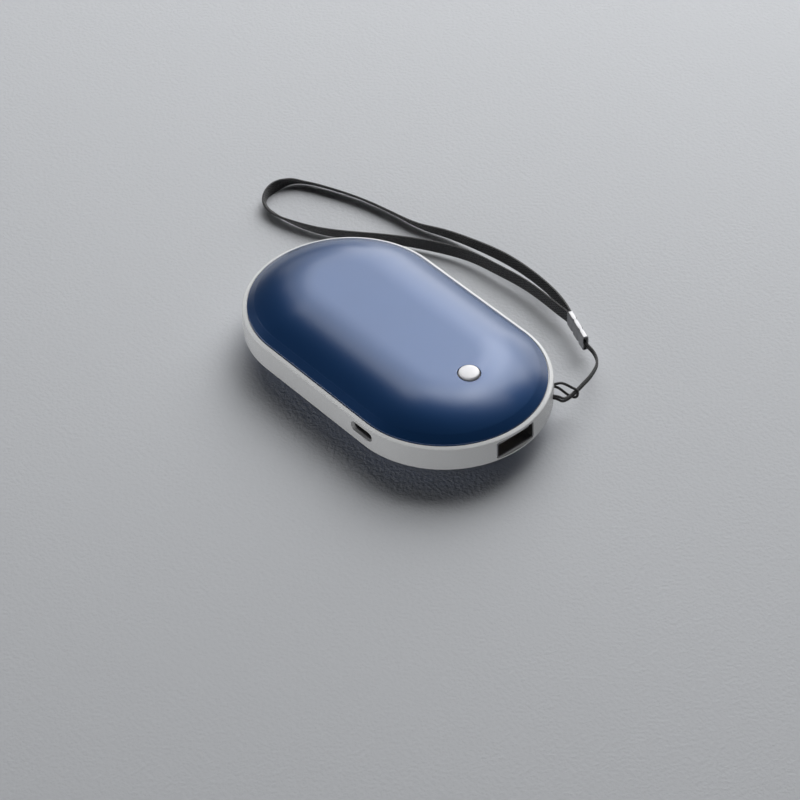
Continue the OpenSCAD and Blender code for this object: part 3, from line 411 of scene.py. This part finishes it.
def sleeve_grid():
    """Sleeve round the X axis: a tape outline stands at each place along it. Its thickness
    loses a groove of a squared cosine's shape at each crimp and a small round at each mouth;
    the same outline, shrunk by the wall, goes back inside to the end of each pocket."""
    x = np.linspace(-ferrule_l / 2, ferrule_l / 2, sleeve_steps)
    depth = sum(
        crimp_depth * np.cos(np.clip((x - middle) / crimp_r, -1, 1) * pi / 2) ** 2
        for middle in (-crimp_x, crimp_x)
    )
    end = np.clip(1 - (ferrule_l / 2 - np.abs(x)) / mouth_round, 0, 1)
    inset = mouth_round * (1 - np.sqrt(1 - end**2))
    outline = tape_outline(
        ferrule_h, ferrule_t, ferrule_corner, sleeve_corner_steps, sleeve_side_steps
    )
    tall, thick = outline[:, 0], outline[:, 1]

    def ring(at, thinner, lower):
        """The outline at one place, less by thinner and lower on either side of its middle."""
        return np.stack([
            np.full(len(tall), at),
            thick * (1 - 2 * thinner / ferrule_t),
            tall * (1 - 2 * lower / ferrule_h),
        ], 1)

    outer = [ring(at, d + e, e) for at, d, e in zip(x, depth, inset)]
    wall = mouth_wall + mouth_round
    near = [ring(band_seat, wall, wall), ring(-ferrule_l / 2 + mouth_in, wall, wall)]
    far = [ring(ferrule_l / 2 - mouth_in, wall, wall), ring(cord_seat, wall, wall)]
    return np.array(near + outer + far)


sleeve = sleeve_grid()
ferrule = grid_mesh(
    "ferrule_crimped", in_ferrule(*sleeve.reshape(-1, 3)).reshape(sleeve.shape),
    capped=True, sharp=50,
)

# Brushed or rolled metal: fine lines that run along X of the vector they are given, and slow
# mottling eight times as broad.
brushed, given, result = new_group(
    "brushed", [("Vector", "Vector", None), ("Lines", "Float", 3000.0)],
    [("Line", "Float"), ("Mottle", "Float")],
)
drawn_out = put(brushed, "ShaderNodeMapping", {"Vector": given["Vector"], "Scale": (0.03, 1, 1)})
lines = put(brushed, "ShaderNodeTexNoise", {
    "Vector": drawn_out.outputs[0], "Scale": given["Lines"], "Detail": 3.0
})
result("Line", lines.outputs[0])
broad = put(brushed, "ShaderNodeTexNoise", {
    "Vector": given["Vector"], "Scale": reckon(brushed, "DIVIDE", given["Lines"], 8.0),
    "Detail": 2.0,
})
result("Mottle", broad.outputs[0])

steel, tree, shader = new_finish(
    "bright_steel", Base_Color=(0.36, 0.36, 0.37, 1), Metallic=1.0, Roughness=0.45
)
own = put(tree, "ShaderNodeMapping", {"Vector": on_object(tree), "Rotation": (0, 0, -ferrule_turn)})
rolled = use_group(tree, brushed, Vector=own.outputs[0], Lines=5000.0)
tinted(tree, shader, rolled["Mottle"], (0.3, 0.3, 0.31, 1), (0.42, 0.42, 0.43, 1))
roughened(tree, shader, rolled["Line"], 0.25, 0.33)
relief(tree, shader, rolled["Line"], 0.01)
ferrule.data.materials.append(steel)
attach(ferrule, "housing")
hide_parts("strap_ferrule")

# Floor and light. The floor is plain, pale and matt, and bounced light meets a darker tone
# on it than the camera does. Soft boxes in five rows beyond the warmer make the crown pale and
# the near shoulder dark, and three low ones on the near side light the rim's face.
floor_size = 3.0
box_far = 1.0
room_level = 0.01
floor_mesh = bpy.data.meshes.new("floor")
half = floor_size / 2
floor_corners = [(-half, -half, 0), (half, -half, 0), (half, half, 0), (-half, half, 0)]
floor_mesh.from_pydata(floor_corners, [], [(0, 1, 2, 3)])
floor = bpy.data.objects.new("floor", floor_mesh)
bpy.context.scene.collection.objects.link(floor)
floor_pale, tree, shader = new_finish("floor_pale", Base_Color=(0.6, 0.61, 0.63, 1), Roughness=0.85)
nap = put(tree, "ShaderNodeTexNoise", {
    "Vector": on_object(tree), "Scale": 900.0, "Detail": 3.0
}).outputs[0]
seen = tree.nodes.new("ShaderNodeLightPath").outputs
straight = reckon(tree, "MAXIMUM", reckon(
    tree, "MAXIMUM", seen["Is Camera Ray"], seen["Is Glossy Ray"]
), seen["Is Transmission Ray"])
pale = tint(tree, nap, (0.535, 0.55, 0.575, 1), (0.565, 0.58, 0.605, 1))
tinted(tree, shader, straight, (0.33, 0.335, 0.35, 1), pale)
relief(tree, shader, nap, 0.2)
floor.data.materials.append(floor_pale)


def soft_box(name, turn, rise, width, height, level):
    """Area lamp that faces the warmer from a compass turn (0 is +X, 90 is +Y) and a rise above
    the floor, both in degrees. Level is the brightness of its face, where 1 is the picture's
    white: the power is level times pi times the area."""
    turn, rise = radians(turn), radians(rise)
    way = np.array([cos(turn) * cos(rise), sin(turn) * cos(rise), sin(rise)])
    lamp = bpy.data.lights.new(name, "AREA")
    lamp.shape, lamp.size, lamp.size_y = "RECTANGLE", width, height
    lamp.energy = level * pi * width * height
    box = bpy.data.objects.new(name, lamp)
    box.location = Vector(way * box_far)
    box.rotation_euler = Vector(way).to_track_quat("Z", "Y").to_euler()
    bpy.context.scene.collection.objects.link(box)


# Each box has its turn, rise, width, height and level; those on the near side have a name too.
bank = (
    (101, 4.8, 0.40, 0.16, 1.2), (124, 4.8, 0.44, 0.16, 2.2),
    (105, 18.5, 0.41, 0.35, 1.8), (130, 18.5, 0.43, 0.35, 2.6), (153, 18.5, 0.40, 0.35, 0.75),
    (96, 39, 0.28, 0.40, 3.3), (118, 39, 0.34, 0.40, 4.5), (142, 39, 0.34, 0.40, 2.5),
    (163, 40, 0.25, 0.38, 1.0),
    (72, 61, 0.17, 0.40, 1.9), (91, 61, 0.16, 0.40, 4.2), (109, 61, 0.17, 0.40, 4.2),
    (134, 61, 0.27, 0.40, 2.9), (168, 61, 0.34, 0.40, 2.1),
    (118, 77, 0.34, 0.18, 2.6),
)
near_side = (
    ("near_left", 222, 6, 0.80, 0.20, 4.4), ("near_side", -75, 6, 1.00, 0.20, 2.5),
    ("near_end", -30, 5, 0.80, 0.16, 2.8),
)
for number, box in enumerate(bank):
    soft_box(f"bank_{number}", *box)
for box in near_side:
    soft_box(*box)
world = bpy.data.worlds.new("room")
world.use_nodes = True
room_light = world.node_tree.nodes["Background"].inputs
room_light["Color"].default_value = (0.96, 0.98, 1, 1)
room_light["Strength"].default_value = room_level
bpy.context.scene.world = world

# Shells. Two equal domes are drawn from aluminium sheet, blasted and dyed blue, with a
# sloping band and a low hem under a fine crease. They sit in the rim's groove; the upper one
# is pierced for the button.
body_l, body_w, body_h = 103, 60, 24
end_r, mid_z = body_w / 2, body_h / 2
arc_x = (body_l - body_w) / 2
rim_half, rim_ledge, seat_depth, seat_gap = 4.1, 1.6, 0.45, 0.3
foot_r, seat_z = end_r - rim_ledge, rim_half - seat_depth
shell_t, hem_h, slope_w, slope_h = 0.4, 0.2, 1.75, 1.45
crease_w, crease_depth = 0.3, 0.012
crown_flat, dome_power = 8, 2.2
fold, foot_cut = 0.14, 0.05
hem_z = rim_half + hem_h
hem_in_z = hem_z - shell_t * tan(atan2(slope_w, slope_h) / 2)
dome_foot = np.array([foot_r - slope_w - crease_w, hem_z + slope_h * (1 + crease_w / slope_w)])
dome_a, dome_h = dome_foot[0] - crown_flat, mid_z - dome_foot[1]
button_d, button_gap, button_x = 5.8, 0.35, arc_x + 10
hole_r, hole_round = button_d / 2 + button_gap, 0.14
cut_over, punch_under = 1.5, 3
crown_steps, dome_steps, dome_in_steps = 8, 64, 20
crease_steps, slope_steps, fold_steps = 8, 7, 5
hole_steps, hole_turns = 6, 96
hard_bend = 30


def dome_height(r):
    """Height of the shell's outer face over the middle plane at distance r from the spine."""
    return mid_z - dome_h * np.clip((r - crown_flat) / dome_a, 0, 1) ** dome_power


def dome_curve(steps, inset):
    """Section of the dome from crown to crease, moved inward along its normal by inset: the
    height falls with a power of the share of the way out."""
    s = np.linspace(0, 1, steps)
    fall = dome_h * dome_power * s ** (dome_power - 1) / dome_a
    normal = unit(np.stack([fall, np.ones(steps)], 1))
    r = crown_flat + dome_a * s
    return np.stack([r, dome_height(r)], 1) - inset * normal


def round_plan(arc_steps, side_steps):
    """Once round the plan of a body with round ends: the spine's x under each place and the
    outward direction there."""
    arc = np.linspace(-pi / 2, pi / 2, arc_steps + 1)[:-1]
    straight = np.linspace(1, -1, side_steps + 1)[:-1]
    at_end, outward = np.ones(arc_steps), np.full(side_steps, pi / 2)
    spine = arc_x * np.concatenate([at_end, straight, -at_end, -straight])
    turn = np.concatenate([arc, outward, arc + pi, -outward])
    return spine, np.stack([np.cos(turn), np.sin(turn)], 1)


def round_ended(section, arc_steps=120, side_steps=48):
    """Section of points (distance from the spine, height over the middle plane) carried round
    the plan: each point goes out from the spine by its distance."""
    spine, way = round_plan(arc_steps, side_steps)
    r, z = section[:, 0, None], section[:, 1, None]
    flat = np.ones(len(spine))
    return np.stack([spine + r * way[:, 0], r * way[:, 1], mid_z + z * flat], 2)


def cut(piece, tool):
    """Takes the tool's solid out of the piece, for good, and drops the tool."""
    bite = piece.modifiers.new("bite", "BOOLEAN")
    bite.operation, bite.solver, bite.object = "DIFFERENCE", "EXACT", tool
    bpy.context.view_layer.update()
    bitten = piece.evaluated_get(bpy.context.evaluated_depsgraph_get())
    left = bpy.data.meshes.new_from_object(bitten)
    piece.modifiers.clear()
    left.name = piece.name
    piece.data = left
    left.shade_smooth()
    left.set_sharp_from_angle(angle=radians(hard_bend))
    bpy.data.objects.remove(tool)


def slope_curve():
    """Section from crease to foot and up inside the hem. The crease dips by a squared sine of
    its share of the way, the slope runs on straight, a quadratic curve folds it into the
    upright hem, and the foot's outer edge is cut off."""
    slope_way = unit(np.array([slope_w, -slope_h]))
    slope_out = np.array([-slope_way[1], slope_way[0]])
    hem_top = np.array([foot_r, hem_z])
    slope_l = np.linalg.norm(hem_top - dome_foot)
    crease_l = slope_l * crease_w / (slope_w + crease_w)
    u = np.concatenate([
        np.linspace(0, crease_l, crease_steps + 1)[1:],
        np.linspace(crease_l, slope_l - fold, slope_steps + 1)[1:],
    ])[:, None]
    dip = crease_depth * np.sin(np.clip(u / crease_l, 0, 1) * pi) ** 2
    t = np.linspace(0, 1, fold_steps + 1)[1:, None]
    return np.vstack([
        dome_foot + u * slope_way - dip * slope_out,
        hem_top - (1 - t) ** 2 * fold * slope_way - t**2 * [0, fold],
        [[foot_r, seat_z + foot_cut], [foot_r - foot_cut, seat_z]],
        [[foot_r - shell_t, seat_z], [foot_r - shell_t, hem_in_z]],
    ])


def punch_grid():
    """Cutter for the button's hole: rings round the button, each at one depth under the shell's
    face. They start over the face, draw in along a quarter circle and run on straight."""
    t = np.linspace(0, pi / 2, hole_steps)
    side = np.vstack([
        [[hole_r + hole_round, -cut_over]],
        np.stack([hole_r + hole_round * (1 - np.sin(t)), hole_round * (1 - np.cos(t))], 1),
        [[hole_r, punch_under]],
    ])
    turn = np.arange(hole_turns) * 2 * pi / hole_turns
    x = (button_x - arc_x) + side[:, :1] * np.cos(turn)
    y = side[:, :1] * np.sin(turn)
    return np.stack([x + arc_x, y, mid_z + dome_height(np.hypot(x, y)) - side[:, 1:]], 2)


crown = np.stack([
    np.linspace(0, crown_flat, crown_steps + 1)[:-1], np.full(crown_steps, mid_z)
], 1)
outer = [crown, dome_curve(dome_steps, 0), slope_curve()]
inner = [dome_curve(dome_in_steps, shell_t)[::-1], (crown - [0, shell_t])[::-1]]
shell_grid = round_ended(np.vstack(outer + inner))
lower_grid = shell_grid * [1, 1, -1] + [0, 0, body_h]
top_shell = grid_mesh("shell_upper", shell_grid, merge=True, sharp=hard_bend)
bottom_shell = grid_mesh("shell_lower", lower_grid, merge=True, sharp=hard_bend)
cut(top_shell, grid_mesh("punch", punch_grid(), capped=True))

# Fine even grain, as a blasted or moulded face has, with slow change over the piece.
grain, given, result = new_group(
    "grain", [("Vector", "Vector", None), ("Scale", "Float", 5000.0)],
    [("Height", "Float"), ("Mottle", "Float")],
)
fine = put(grain, "ShaderNodeTexNoise", {
    "Vector": given["Vector"], "Scale": given["Scale"], "Detail": 2.0, "Roughness": 0.6
})
slow = put(grain, "ShaderNodeTexNoise", {
    "Vector": given["Vector"], "Scale": reckon(grain, "DIVIDE", given["Scale"], 120.0),
    "Detail": 3.0,
})
result("Height", fine.outputs[0])
result("Mottle", slow.outputs[0])

dyed_blue, tree, shader = new_finish(
    "dyed_aluminium", Base_Color=(0.007, 0.056, 0.165, 1), Metallic=1.0, Roughness=0.58,
    Coat_Weight=1.0, Coat_Roughness=0.27, Coat_IOR=1.68,
)
blasted = use_group(tree, grain, Vector=on_object(tree), Scale=5200.0)
tinted(tree, shader, blasted["Mottle"], (0.0045, 0.045, 0.15, 1), (0.0065, 0.054, 0.175, 1))
roughened(tree, shader, blasted["Height"], 0.12, 0.52)
relief(tree, shader, blasted["Height"], 0.008)
for shell, node in ((top_shell, "top_shell"), (bottom_shell, "bottom_shell")):
    shell.data.materials.append(dyed_blue)
    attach(shell, "housing")
    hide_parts(node)

# Rim. One moulding of satin white plastic goes round the warmer between the shells. It has
# a slightly crowned outer face, a sloping ledge, a groove and a lip for each shell, the
# mouths of both sockets and a bent bore, the lanyard eye.
rim_wall, rim_bulge, rim_edge, ledge_turn, ledge_cut = 3.6, 0.15, 0.5, radians(66), 0.08
rim_in_r = end_r - rim_wall
lip_r = foot_r - shell_t - seat_gap
lip_z = seat_z + (lip_r - rim_in_r) * slope_h / slope_w
edge_r, groove_r = end_r - rim_bulge - rim_edge, foot_r + seat_gap
ledge_fall = (edge_r + rim_edge * cos(ledge_turn) - groove_r) / tan(ledge_turn)
face_top = rim_half - ledge_fall - rim_edge * sin(ledge_turn)
port_w, port_h, port_side_gap, port_top_gap, port_corner = 13.1, 5.4, 0.15, 0.1, 0.6
charge_x, charge_z, charge_mouth, charge_corner = arc_x - 0.85, 12.95, (8.6, 3.1), 1.4
mouth_edge, port_deep, charge_deep = 0.2, 9, 5
eye_turn, eye_bend_r, eye_bore_r = radians(45), 2.4, 1.05
face_steps, edge_steps, mouth_steps, corner_steps = 12, 8, 6, 6
eye_turns, eye_sides = 64, 32


def rim_face(z):
    """Distance of the rim's outer face from the spine at height z over the middle plane: full
    at the middle, less by the bulge times the square of z's share of the face's half height."""
    return end_r - rim_bulge * (z / face_top) ** 2


def upper_rim():
    """Section from the middle of the outer face up and over: the crowned face, a round edge,
    a straight sloping ledge with a cut corner, the groove and the lip."""
    z = np.linspace(0, face_top, face_steps)
    t = np.linspace(0, ledge_turn, edge_steps + 1)[1:]
    return np.vstack([
        np.stack([rim_face(z), z], 1),
        np.stack([edge_r + rim_edge * np.cos(t), face_top + rim_edge * np.sin(t)], 1),
        [[groove_r + ledge_cut, rim_half - ledge_cut / tan(ledge_turn)]],
        [[groove_r, rim_half - ledge_cut], [groove_r, seat_z], [lip_r, seat_z], [rim_in_r, lip_z]],
    ])


def rounded_box(a, b, r):
    """Outline of a rectangle a by b: the quarter circle of radius r, turned by a right angle
    from each corner to the next."""
    t = np.linspace(0, pi / 2, corner_steps + 1)
    quarter = r * np.stack([np.cos(t), np.sin(t)], 1)
    corners = []
    for k, way in enumerate([(1, 1), (-1, 1), (-1, -1), (1, -1)]):
        across, up = cos(k * pi / 2), sin(k * pi / 2)
        middle = np.multiply(way, [a / 2 - r, b / 2 - r])
        corners.append(middle + quarter @ np.array([[across, up], [-up, across]]))
    return np.vstack(corners)


def mouth_tool(name, onto_face, size, corner, deep):
    """Cutter for a socket's mouth: the outline of the mouth starts over the rim's face, draws
    in along a quarter circle that follows the face, and runs on straight. onto_face turns
    (across, up, depth under the face) into points."""
    t = np.linspace(0, pi / 2, mouth_steps)
    drawn_in = zip(mouth_edge * (1 - np.sin(t)), mouth_edge * (1 - np.cos(t)))
    rings = []
    for grown, depth in [(mouth_edge, -cut_over), *drawn_in, (0, deep)]:
        outline = rounded_box(size[0] + 2 * grown, size[1] + 2 * grown, corner + grown)
        rings.append(onto_face(*outline.T, depth))
    return grid_mesh(name, np.array(rings), capped=True)


def end_place(y, z, depth):
    """Points under the end face: x is the round end's reach at that y, less the depth."""
    return np.stack([arc_x + np.sqrt(rim_face(z) ** 2 - y**2) - depth, y, mid_z + z], 1)


def side_place(across, z, depth):
    """Points under the long side's face, which turns into the round end past the spine's end:
    y is the depth less the face's reach at that x."""
    x, z = charge_x + across, charge_z - mid_z + z
    past = np.clip(x - arc_x, 0, None)
    return np.stack([x, depth - np.sqrt(rim_face(z) ** 2 - past**2), mid_z + z], 1)


def eye_grid():
    """Cutter for the lanyard eye, a level ring whose middle lies in the rim's face: the round
    outline of the bore is carried round a circle of the bend's radius."""
    turn = np.arange(eye_turns)[:, None] * 2 * pi / eye_turns
    bore = round_outline(2 * eye_bore_r, eye_sides)
    out = eye_bend_r + bore[None, :, 0]
    return np.stack([
        arc_x + end_r * cos(eye_turn) + out * np.cos(turn),
        end_r * sin(eye_turn) + out * np.sin(turn),
        mid_z + bore[None, :, 1] + 0 * turn,
    ], 2)


half_section = upper_rim()
rim_section = np.vstack([half_section, (half_section * [1, -1])[::-1][:-1]])
rim = grid_mesh("rim_moulded", round_ended(rim_section), long_round=True, sharp=hard_bend)
end_mouth = port_w + 2 * port_side_gap, port_h + 2 * port_top_gap
cut(rim, mouth_tool("end_mouth", end_place, end_mouth, port_corner, port_deep))
cut(rim, mouth_tool("side_mouth", side_place, charge_mouth, charge_corner, charge_deep))
cut(rim, grid_mesh("eye_bore", eye_grid(), long_round=True))

satin_white, tree, shader = new_finish(
    "satin_plastic", Base_Color=(0.76, 0.77, 0.775, 1), Roughness=0.26
)
moulded = use_group(tree, grain, Vector=on_object(tree), Scale=3500.0)
tinted(tree, shader, moulded["Mottle"], (0.74, 0.75, 0.755, 1), (0.78, 0.79, 0.795, 1))
roughened(tree, shader, moulded["Height"], 0.12, 0.2)
relief(tree, shader, moulded["Height"], 0.006)
rim.data.materials.append(satin_white)
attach(rim, "housing")
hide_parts("rim_frame")

# Button. A glossy white cap with a soft edge stands in the upper shell's hole; its flange
# and stem sit under the shell, and the stem presses the switch.
cap_low, cap_high = (corner.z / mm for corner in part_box("button_cap"))
cap_r, cap_drop, stem_r = button_d / 2, 0.5, 1.5
flange_out, flange_t, flange_gap = 0.9, 0.8, 1.3
flange_top = body_h - shell_t - flange_gap
flange_low, flange_r = flange_top - flange_t, cap_r + flange_out
cap_steps = 24


def lathe(name, section, centre, turns=96, sharp=35):
    """Section of points (radius, height) spun about an upright line through the centre; it
    starts and ends on that line, where its points are merged."""
    t = np.arange(turns) * 2 * pi / turns
    r, z = section[:, :1], section[:, 1:]
    return grid_mesh(name, np.stack([
        centre[0] + r * np.cos(t), centre[1] + r * np.sin(t), z + 0 * t
    ], 2), merge=True, sharp=sharp)


# The stem and flange have straight sides, and the cap's top is a quarter of an ellipse.
t = np.linspace(0, pi / 2, cap_steps)
cap_section = np.vstack([
    [[0, cap_low], [stem_r, cap_low], [stem_r, flange_low]],
    [[flange_r, flange_low], [flange_r, flange_top], [cap_r, flange_top]],
    np.stack([cap_r * np.cos(t), cap_high - cap_drop * (1 - np.sin(t))], 1),
])
cap = lathe("button_domed", cap_section, (button_x, 0))

pearl_white, tree, shader = new_finish(
    "glossy_plastic", Base_Color=(0.84, 0.84, 0.87, 1), Roughness=0.25,
    Coat_Weight=0.6, Coat_Roughness=0.1,
)
smear = use_group(tree, grain, Vector=on_object(tree), Scale=60000.0)
tinted(tree, shader, smear["Mottle"], (0.82, 0.82, 0.85, 1), (0.86, 0.86, 0.885, 1))
roughened(tree, shader, smear["Mottle"], 0.1, 0.18)
relief(tree, shader, smear["Mottle"], 0.004)
cap.data.materials.append(pearl_white)
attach(cap, "button")
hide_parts("button_cap")

# Sockets. Each is a folded and plated steel shell round a plastic tongue, which is dark grey and
# has four gold contacts in the output socket, and is black in the charging one. The output tongue
# is coloured a lighter mid grey, painted light so that it shows in the shaded mouth. They are
# soldered to the board, and their faces stand close behind the mouths in the rim.
output_ahead, tongue_ahead, charge_ahead = 1.1 * mm, 1.6 * mm, -1 * mm

plated, tree, shader = new_finish(
    "plated_steel", Base_Color=(0.3, 0.3, 0.31, 1), Metallic=1.0, Roughness=0.35
)
rolled = use_group(tree, brushed, Vector=on_object(tree), Lines=4000.0)
tinted(tree, shader, rolled["Mottle"], (0.22, 0.22, 0.23, 1), (0.32, 0.32, 0.33, 1))
roughened(tree, shader, rolled["Line"], 0.2, 0.28)
relief(tree, shader, rolled["Line"], 0.01)


def nearer(name, node, shell, axis, ahead, material):
    """Copy of a socket's node whose points go forward along one axis by a share of ahead: none
    at the back of the socket's shell and all of it at the shell's face."""
    ends = [corner[axis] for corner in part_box(shell)]
    back, face = ends if ahead > 0 else ends[::-1]
    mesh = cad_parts[node].data.copy()
    points = np.empty(len(mesh.vertices) * 3)
    mesh.vertices.foreach_get("co", points)
    along = points[axis::3]
    along += ahead * np.clip((along - back) / (face - back), 0, 1)
    mesh.vertices.foreach_set("co", points)
    mesh.materials.clear()
    mesh.materials.append(material)
    piece = made_piece(name, mesh, merge=True)
    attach(piece, "housing")
    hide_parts(node)


def dress(material, *names):
    """Gives CAD nodes a material in place of their plain one."""
    for name in names:
        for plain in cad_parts[name].material_slots:
            plain.material = material


nearer("output_shell", "usb_a_shell", "usb_a_shell", 0, output_ahead, plated)
nearer(
    "charging_shell", "charge_port_shell", "charge_port_shell", 1, charge_ahead,
    plated,
)

moulded_black, tree, shader = new_finish(
    "moulded_black", Base_Color=(0.03, 0.03, 0.032, 1), Roughness=0.5
)
moulded = use_group(tree, grain, Vector=on_object(tree), Scale=6000.0)
tinted(tree, shader, moulded["Mottle"], (0.022, 0.022, 0.024, 1), (0.036, 0.036, 0.038, 1))
roughened(tree, shader, moulded["Height"], 0.2, 0.4)
relief(tree, shader, moulded["Height"], 0.01)

# Output tongue: a mid grey, lighter than the tongue's own dark grey, painted light so that it shows
# in the shaded mouth.
painted_light_grey, tree, shader = new_finish(
    "painted_light_grey", Base_Color=(0.34, 0.34, 0.345, 1), Roughness=0.45
)
moulded = use_group(tree, grain, Vector=on_object(tree), Scale=6000.0)
tinted(tree, shader, moulded["Mottle"], (0.32, 0.32, 0.325, 1), (0.36, 0.36, 0.365, 1))
relief(tree, shader, moulded["Height"], 0.01)
nearer(
    "output_tongue", "usb_a_tongue", "usb_a_shell", 0, tongue_ahead,
    painted_light_grey,
)
nearer(
    "charging_tongue", "charge_port_tongue", "charge_port_shell", 1, charge_ahead,
    moulded_black,
)

contact_gold, tree, shader = new_finish(
    "plated_gold", Base_Color=(0.75, 0.5, 0.2, 1), Metallic=1.0, Roughness=0.25
)
rolled = use_group(tree, brushed, Vector=on_object(tree), Lines=6000.0)
tinted(tree, shader, rolled["Mottle"], (0.68, 0.45, 0.17, 1), (0.8, 0.56, 0.25, 1))
roughened(tree, shader, rolled["Line"], 0.2, 0.15)
nearer(
    "output_contacts", "usb_a_contacts", "usb_a_shell", 0, tongue_ahead,
    contact_gold,
)

# Board and what it carries. A green board is screwed to the black moulded chassis, with the
# switch, two lamps, a coil, chips and tinned capacitors on it. The white tower over the switch
# guides the button's stem.
solder_mask, tree, shader = new_finish(
    "solder_mask", Base_Color=(0.02, 0.12, 0.06, 1), Roughness=0.3, Coat_Weight=0.4
)
spot = on_object(tree)
tracks = put(tree, "ShaderNodeTexBrick", {
    "Vector": spot, "Scale": 90.0, "Mortar Size": 0.03,
    "Color1": (0, 0, 0, 1), "Color2": (0.2, 0.2, 0.2, 1), "Mortar": (1, 1, 1, 1),
})
mottled = use_group(tree, grain, Vector=spot, Scale=3000.0)
tinted(tree, shader, tracks.outputs[0], (0.016, 0.1, 0.05, 1), (0.04, 0.18, 0.09, 1))
roughened(tree, shader, mottled["Mottle"], 0.15, 0.22)
relief(tree, shader, tracks.outputs[0], 0.03)
dress(solder_mask, "main_board", "battery_board")
dress(moulded_black, "chassis", "tact_switch", "power_inductor", "control_chips", "thermistor")

guide_white, tree, shader = new_finish(
    "guide_plastic", Base_Color=(0.75, 0.75, 0.76, 1), Roughness=0.45
)
moulded = use_group(tree, grain, Vector=on_object(tree), Scale=4000.0)
tinted(tree, shader, moulded["Mottle"], (0.72, 0.72, 0.73, 1), (0.77, 0.77, 0.78, 1))
relief(tree, shader, moulded["Height"], 0.01)
dress(guide_white, "button_tower", "indicator_leds")

tin_grey, tree, shader = new_finish(
    "tinned_can", Base_Color=(0.6, 0.61, 0.63, 1), Metallic=1.0, Roughness=0.35
)
rolled = use_group(tree, brushed, Vector=on_object(tree), Lines=3000.0)
tinted(tree, shader, rolled["Mottle"], (0.5, 0.51, 0.53, 1), (0.66, 0.67, 0.69, 1))
roughened(tree, shader, rolled["Line"], 0.25, 0.25)
dress(tin_grey, "board_capacitors", "chassis_screws", "board_screws")

# Cell, leads and switch plunger. The cell is a foil pouch; silicone-sleeved leads join it
# and the heating films to the board. The plunger is moulded in the leads' red.
foil, tree, shader = new_finish(
    "foil_pouch", Base_Color=(0.6, 0.62, 0.65, 1), Metallic=0.9, Roughness=0.4
)
creased = use_group(tree, grain, Vector=on_object(tree), Scale=1500.0)
tinted(tree, shader, creased["Mottle"], (0.5, 0.52, 0.55, 1), (0.66, 0.68, 0.71, 1))
roughened(tree, shader, creased["Mottle"], 0.3, 0.28)
relief(tree, shader, creased["Mottle"], 0.2)
dress(foil, "battery_cell")

sleeve_red, tree, shader = new_finish(
    "silicone_sleeve", Base_Color=(0.45, 0.02, 0.02, 1), Roughness=0.5
)
rubbed = use_group(tree, grain, Vector=on_object(tree), Scale=5000.0)
tinted(tree, shader, rubbed["Mottle"], (0.38, 0.015, 0.015, 1), (0.5, 0.03, 0.03, 1))
relief(tree, shader, rubbed["Height"], 0.01)
dress(sleeve_red, "battery_leads", "heater_leads", "switch_plunger")

# Heating films and foam pads. Each film is amber plastic with a metal track, bonded inside
# a shell, and a foam pad lies between it and the cell.
film_amber, tree, shader = new_finish(
    "amber_film", Base_Color=(0.5, 0.2, 0.03, 1), Roughness=0.3, Coat_Weight=0.5
)
track = put(tree, "ShaderNodeTexWave", {
    "Vector": on_object(tree), "Scale": 160.0, "Distortion": 0.0
}, bands_direction="X")
tinted(tree, shader, track.outputs[1], (0.5, 0.2, 0.03, 1), (0.7, 0.42, 0.2, 1))
relief(tree, shader, track.outputs[1], 0.03)
dress(film_amber, "top_heater", "bottom_heater")

open_foam, tree, shader = new_finish("open_foam", Base_Color=(0.05, 0.05, 0.055, 1), Roughness=0.95)
cells = put(tree, "ShaderNodeTexVoronoi", {"Vector": on_object(tree), "Scale": 2200.0})
tinted(tree, shader, cells.outputs[0], (0.02, 0.02, 0.022, 1), (0.09, 0.09, 0.095, 1))
relief(tree, shader, cells.outputs[0], 0.2)
for name in ("top_pad", "bottom_pad"):
    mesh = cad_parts[name].data.copy()
    mesh.materials.clear()
    mesh.materials.append(open_foam)
    pad = made_piece(name.replace("pad", "foam"), mesh, merge=True)
    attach(pad, "housing")
    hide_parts(name)
